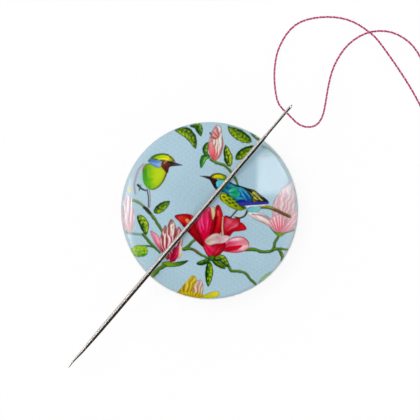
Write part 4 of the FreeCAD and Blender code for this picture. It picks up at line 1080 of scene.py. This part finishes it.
for ply in (0, 1):
    turn = linked(plying, "ShaderNodeMath", {0: share.outputs[0], 1: ply * 0.5}, operation="ADD")
    turn = linked(plying, "ShaderNodeMath", {0: turn.outputs[0], 1: 2 * math.pi}, operation="MULTIPLY")
    moves = []
    for side_vector, wave in ((normal.outputs[0], "COSINE"), (binormal.outputs[0], "SINE")):
        size = linked(plying, "ShaderNodeMath", {0: turn.outputs[0]}, operation=wave)
        size = linked(plying, "ShaderNodeMath", {0: size.outputs[0], 1: reach.outputs[0]},
                      operation="MULTIPLY")
        move = linked(plying, "ShaderNodeVectorMath", {0: side_vector}, operation="SCALE")
        plying.links.new(size.outputs[0], move.inputs["Scale"])
        moves.append(move.outputs[0])
    offset = linked(plying, "ShaderNodeVectorMath", {0: moves[0], 1: moves[1]}, operation="ADD")
    twisted = linked(plying, "GeometryNodeSetPosition",
                     {"Geometry": even.outputs[0], "Offset": offset.outputs[0]})
    spun = linked(plying, "GeometryNodeCurveToMesh", {"Curve": twisted.outputs[0],
                                                      "Profile Curve": section.outputs[0], "Fill Caps": True})
    marked = linked(plying, "GeometryNodeStoreNamedAttribute",
                    {"Geometry": spun.outputs[0], "Name": "ply", "Value": float(ply)},
                    data_type="FLOAT", domain="POINT")
    plies.append(marked.outputs[0])
both_plies = plying.nodes.new("GeometryNodeJoinGeometry")
for ply in plies:
    plying.links.new(ply, both_plies.inputs[0])
smooth = linked(plying, "GeometryNodeSetShadeSmooth", {"Geometry": both_plies.outputs[0]}, domain="FACE")
finish_tree(plying, smooth.outputs[0], given.outputs["Material"])

cotton, tree, shader = new_material("two-ply cotton", Roughness=0.85, Specular_IOR_Level=0.25,
                                    Sheen_Weight=0.35, Sheen_Roughness=0.5)
which = linked(tree, "ShaderNodeAttribute", attribute_name="ply")
place_node = tree.nodes.new("ShaderNodeTexCoord")
strands = linked(tree, "ShaderNodeTexNoise", {"Vector": place_node.outputs["Object"], "Scale": 9000.0,
                                              "Detail": 4.0, "Roughness": 0.75})
dyed = linked(tree, "ShaderNodeMix", {"Factor": which.outputs["Fac"]}, data_type="RGBA")
dyed.inputs["A"].default_value = (0.30, 0.008, 0.065, 1)
dyed.inputs["B"].default_value = (0.66, 0.10, 0.28, 1)
tone = linked(tree, "ShaderNodeMapRange", {"Value": strands.outputs[0], "From Min": 0.3, "From Max": 0.7,
                                           "To Min": 0.78, "To Max": 1.2})
shaded = linked(tree, "ShaderNodeVectorMath", {0: dyed.outputs["Result"]}, operation="SCALE")
tree.links.new(tone.outputs[0], shaded.inputs["Scale"])
tree.links.new(shaded.outputs[0], shader.inputs["Base Color"])
relief = linked(tree, "ShaderNodeBump", {"Height": strands.outputs[0], "Strength": 0.5, "Distance": 2e-5})
tree.links.new(relief.outputs[0], shader.inputs["Normal"])

long_route = [(0, 0, 1), (-0.8, 0.68, 0.99), (-1.35, 2.11, 0.885), (-1.62, 5.11, 0.54), (-1.3, 7.91, 0.2),
              (-0.74, 9.61, 0.07), (0.3, 11.45, 0), (1.7, 12.82, 0), (3.66, 13.55, 0), (6.31, 13.8, 0),
              (8.56, 13.5, 0), (10.2, 12.81, 0.055), (11.4, 12.0, 0.11), (12.76, 10.95, 0.11),
              (13.86, 9.61, 0.055), (15.96, 6.71, 0), (17.96, 3.61, 0), (19.26, 1.21, 0), (20.56, -1.29, 0)]
tail_route = [(0, 0, 1), (0.68, -0.68, 0.99), (1.76, -1.76, 0.94), (3.08, -2.18, 0.83), (4.42, -1.86, 0.69),
              (5.31, -0.59, 0.55), (5.76, 1.51, 0.35), (6.16, 3.91, 0.17), (6.86, 6.61, 0.05), (8.46, 9.3, 0),
              (10.16, 10.75, 0), (11.96, 11.6, 0), (13.96, 11.8, 0), (15.7, 11.45, 0), (17.5, 10.4, 0),
              (18.7, 9.1, 0), (19.6, 7.45, 0), (20.66, 5.71, 0), (22.36, 4.71, 0), (24.36, 5.01, 0),
              (25.66, 6.41, 0)]

coil_low, coil_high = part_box("thread_coil")
coil_x, coil_y = (coil_low.x + coil_high.x) / 2, (coil_low.y + coil_high.y) / 2
coil_pitch, points_a_turn = 0.338 * mm, 16
outer_turn = (coil_high.x - coil_low.x) / 2 - thread_diameter / 2
# A smooth line cuts inside its control points, so these stand that much further out.
spread = 1 / math.cos(math.pi / points_a_turn)
# Each turn as it is wound, by its column from the outside and its level from the ground.  The rows run
# inwards and back, the innermost turns sink onto those under them, and the end lies over the top.
wound = []
for level in range(5):
    if level % 2:
        wound += [(column, level) for column in (3, 2, 1, 0)]
    else:
        wound += [(column, level) for column in (0, 1, 2, 3)] + [(4, level // 2), (5, level // 2)]
wound += [(4, 3), (2, 5)]
last_turn = len(wound) - 1
joining = math.radians(212)
coil_places = []
for step in range(len(wound) * points_a_turn + 1):
    turn = min(step // points_a_turn, last_turn)
    share = step / points_a_turn - turn
    this_turn, next_turn = np.array(wound[turn]), np.array(wound[min(turn + 1, last_turn)])
    column, level = this_turn * (1 - share) + next_turn * share
    radius = (outer_turn - coil_pitch * column) * spread
    angle = joining + 2 * math.pi * (turn + share)
    coil_places.append((coil_x + radius * math.cos(angle), coil_y + radius * math.sin(angle),
                        lying_height + coil_pitch * level))


def plied_thread(name, places, replaced):
    guide = bpy.data.objects.new(name + "_line", thread_line(name + "_line", places))
    scene.collection.objects.link(guide)
    bpy.context.view_layer.update()
    line_mesh = bpy.data.meshes.new_from_object(guide.evaluated_get(bpy.context.evaluated_depsgraph_get()))
    bpy.data.objects.remove(guide)
    thread = made_by_nodes(name, line_mesh, plying, material=cotton)
    facing_out(thread.data)
    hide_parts(*replaced)
    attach(thread, "threaded_needle")


plied_thread("thread_to_coil", from_eye(long_route) + coil_places, ("thread_long", "thread_coil"))
plied_thread("thread_short_side", from_eye(tail_route), ("thread_tail",))

# ===================================================================================================
# Plain white floor, soft studio light from the upper left and a camera straight above the badge.
# From beneath the floor is clear, so that the magnet can be looked at.
floor_mesh = bpy.data.meshes.new("floor")
half_floor = 1.2
floor_mesh.from_pydata([(-half_floor, -half_floor, 0), (half_floor, -half_floor, 0),
                        (half_floor, half_floor, 0), (-half_floor, half_floor, 0)], [], [(0, 1, 2, 3)])
white, tree, shader = new_material("white board", Base_Color=(0.92, 0.92, 0.92, 1), Roughness=0.9,
                                   Specular_IOR_Level=0.1)
ray = tree.nodes.new("ShaderNodeLightPath")
place_node = tree.nodes.new("ShaderNodeTexCoord")
lamp_azimuth = math.radians(139.6)
toward_lamp = (math.cos(lamp_azimuth), math.sin(lamp_azimuth), 0)
lamp_side = linked(tree, "ShaderNodeVectorMath", {0: place_node.outputs["Object"], 1: toward_lamp},
                   operation="DOT_PRODUCT")
# In gloss the board glows: it is painted white on the lamp's side and painted into shade on the other side of
# the badge, a painted reflection of light and shade.
painted_gloss_shade = linked(tree, "ShaderNodeMapRange", {"Value": lamp_side.outputs["Value"], "From Min": -0.003,
                                             "From Max": 0.004, "To Min": 0.05, "To Max": 1.0})
level = linked(tree, "ShaderNodeMix", {"Factor": ray.outputs["Is Glossy Ray"], "A": 1.0,
                                       "B": painted_gloss_shade.outputs[0]})
lit = linked(tree, "ShaderNodeEmission", {0: (1, 1, 1, 1), 1: level.outputs["Result"]})
seen = linked(tree, "ShaderNodeMath", {0: ray.outputs["Is Camera Ray"],
                                       1: ray.outputs["Is Transmission Ray"]}, operation="MAXIMUM")
share = linked(tree, "ShaderNodeMath", {0: seen.outputs[0], 1: 0.9}, operation="MULTIPLY")
share = linked(tree, "ShaderNodeMath", {0: share.outputs[0], 1: ray.outputs["Is Glossy Ray"]},
               operation="MAXIMUM")
surface = linked(tree, "ShaderNodeMixShader", {0: share.outputs[0], 1: shader.outputs[0], 2: lit.outputs[0]})
beneath = tree.nodes.new("ShaderNodeNewGeometry")
opened = linked(tree, "ShaderNodeBsdfTransparent", {0: (1, 1, 1, 1)})
surface = linked(tree, "ShaderNodeMixShader", {0: beneath.outputs["Backfacing"], 1: surface.outputs[0],
                                               2: opened.outputs[0]})
tree.links.new(surface.outputs[0], tree.nodes["Material Output"].inputs["Surface"])
floor_mesh.materials.append(white)
floor = bpy.data.objects.new("floor", floor_mesh)
scene.collection.objects.link(floor)

# The studio: white to the camera, even to matt surfaces, and in gloss a room that is bright on the
# lamp's side and dark opposite, with two windows.
patch_tree = bpy.data.node_groups.new("window seen in gloss", "ShaderNodeTree")
input_socket(patch_tree, "Direction", "NodeSocketVector")
input_socket(patch_tree, "Centre", "NodeSocketVector")
input_socket(patch_tree, "Half Size", "NodeSocketVector", (0.1, 0.1, 1.0))
input_socket(patch_tree, "Brightness", "NodeSocketFloat", 1.0)
patch_tree.interface.new_socket("Brightness", in_out="OUTPUT", socket_type="NodeSocketFloat")
given = patch_tree.nodes.new("NodeGroupInput")
away = linked(patch_tree, "ShaderNodeVectorMath", {0: given.outputs["Direction"], 1: given.outputs["Centre"]},
              operation="SUBTRACT")
away = linked(patch_tree, "ShaderNodeVectorMath", {0: away.outputs[0], 1: given.outputs["Half Size"]},
              operation="DIVIDE")
away = linked(patch_tree, "ShaderNodeVectorMath", {0: away.outputs[0]}, operation="ABSOLUTE")
sides = linked(patch_tree, "ShaderNodeSeparateXYZ", {0: away.outputs[0]})
lit_part = given.outputs["Brightness"]
for name in ("X", "Y"):
    edge = linked(patch_tree, "ShaderNodeMapRange", {"Value": sides.outputs[name], "From Min": 1.3,
                                                     "From Max": 0.75}, interpolation_type="SMOOTHSTEP")
    lit_part = linked(patch_tree, "ShaderNodeMath", {0: lit_part, 1: edge.outputs[0]},
                      operation="MULTIPLY").outputs[0]
linked(patch_tree, "NodeGroupOutput", {0: lit_part})

studio = bpy.data.worlds.new("studio")
studio.use_nodes = True
scene.world = studio
tree = studio.node_tree
room = tree.nodes["Background"]
way = tree.nodes.new("ShaderNodeTexCoord")
lamp_side = linked(tree, "ShaderNodeVectorMath", {0: way.outputs["Generated"], 1: toward_lamp},
                   operation="DOT_PRODUCT")
halved = linked(tree, "ShaderNodeMath", {0: lamp_side.outputs["Value"], 1: 0.5, 2: 0.5},
                operation="MULTIPLY_ADD")
room_tones = linked(tree, "ShaderNodeValToRGB", {0: halved.outputs[0]})
room_tones.color_ramp.interpolation = "EASE"
stops = room_tones.color_ramp.elements
darkest_side = -0.95
for side, tone in ((darkest_side, 0.003), (-0.50, 0.01), (-0.15, 0.03), (0.05, 0.12), (0.25, 0.60),
                   (0.45, 0.92), (0.90, 0.62)):
    stop = stops[0] if side == darkest_side else stops.new((side + 1) / 2)
    stop.position, stop.color = (side + 1) / 2, (tone, tone, tone, 1)
stops[-1].color = (0.4, 0.4, 0.4, 1)
brightness = room_tones.outputs[0]
for centre, half_size, strength in (((0.485, 0.278, 0), (0.108, 0.146, 1), 15.0),
                                    ((-0.67, -0.02, 0), (0.075, 0.30, 1), 11.0)):
    window = linked(tree, "ShaderNodeGroup", node_tree=patch_tree)
    tree.links.new(way.outputs["Generated"], window.inputs["Direction"])
    window.inputs["Centre"].default_value = centre
    window.inputs["Half Size"].default_value = half_size
    window.inputs["Brightness"].default_value = strength
    brightness = linked(tree, "ShaderNodeMath", {0: brightness, 1: window.outputs[0]}).outputs[0]
tree.links.new(brightness, room.inputs["Strength"])
room.inputs["Color"].default_value = (1, 1, 1, 1)
shade = linked(tree, "ShaderNodeMapRange", {"Value": lamp_side.outputs["Value"], "From Min": -1.0,
                                            "From Max": 1.0, "To Min": 0.68, "To Max": 0.90})
even = linked(tree, "ShaderNodeBackground", {0: (1, 1, 1, 1), 1: shade.outputs[0]})
plain = linked(tree, "ShaderNodeBackground", {0: (1, 1, 1, 1), 1: 1.0})
ray = tree.nodes.new("ShaderNodeLightPath")
shown = linked(tree, "ShaderNodeMixShader", {0: ray.outputs["Is Glossy Ray"], 1: even.outputs[0],
                                             2: room.outputs[0]})
shown = linked(tree, "ShaderNodeMixShader", {0: ray.outputs["Is Camera Ray"], 1: shown.outputs[0],
                                             2: plain.outputs[0]})
tree.links.new(shown.outputs[0], tree.nodes["World Output"].inputs["Surface"])


def area_lamp(name, azimuth, elevation, distance, width, height, radiance):
    """A rectangular lamp that faces the badge, with its brightness as seen from there."""
    lamp = bpy.data.lights.new(name, "AREA")
    lamp.shape, lamp.size, lamp.size_y = "RECTANGLE", width, height
    lamp.energy = radiance * math.pi * width * height
    body = bpy.data.objects.new(name, lamp)
    azimuth, elevation = math.radians(azimuth), math.radians(elevation)
    direction = Vector((math.cos(azimuth) * math.cos(elevation), math.sin(azimuth) * math.cos(elevation),
                        math.sin(elevation)))
    body.location = direction * distance
    body.rotation_euler = direction.to_track_quat("Z", "Y").to_euler()
    body.visible_glossy = False
    scene.collection.objects.link(body)


area_lamp("softbox", 139.6, 72, 1.0, 0.4, 0.3, 8.2)

camera_aside, camera_height = 0.07 * mm, 604.7 * mm
lens = bpy.data.cameras.new("camera")
lens.sensor_width = 36
lens.lens = 363.7
lens.clip_start = 0.01
camera = bpy.data.objects.new("camera", lens)
camera.location = (camera_aside, camera_aside, camera_height)
scene.collection.objects.link(camera)
scene.camera = camera
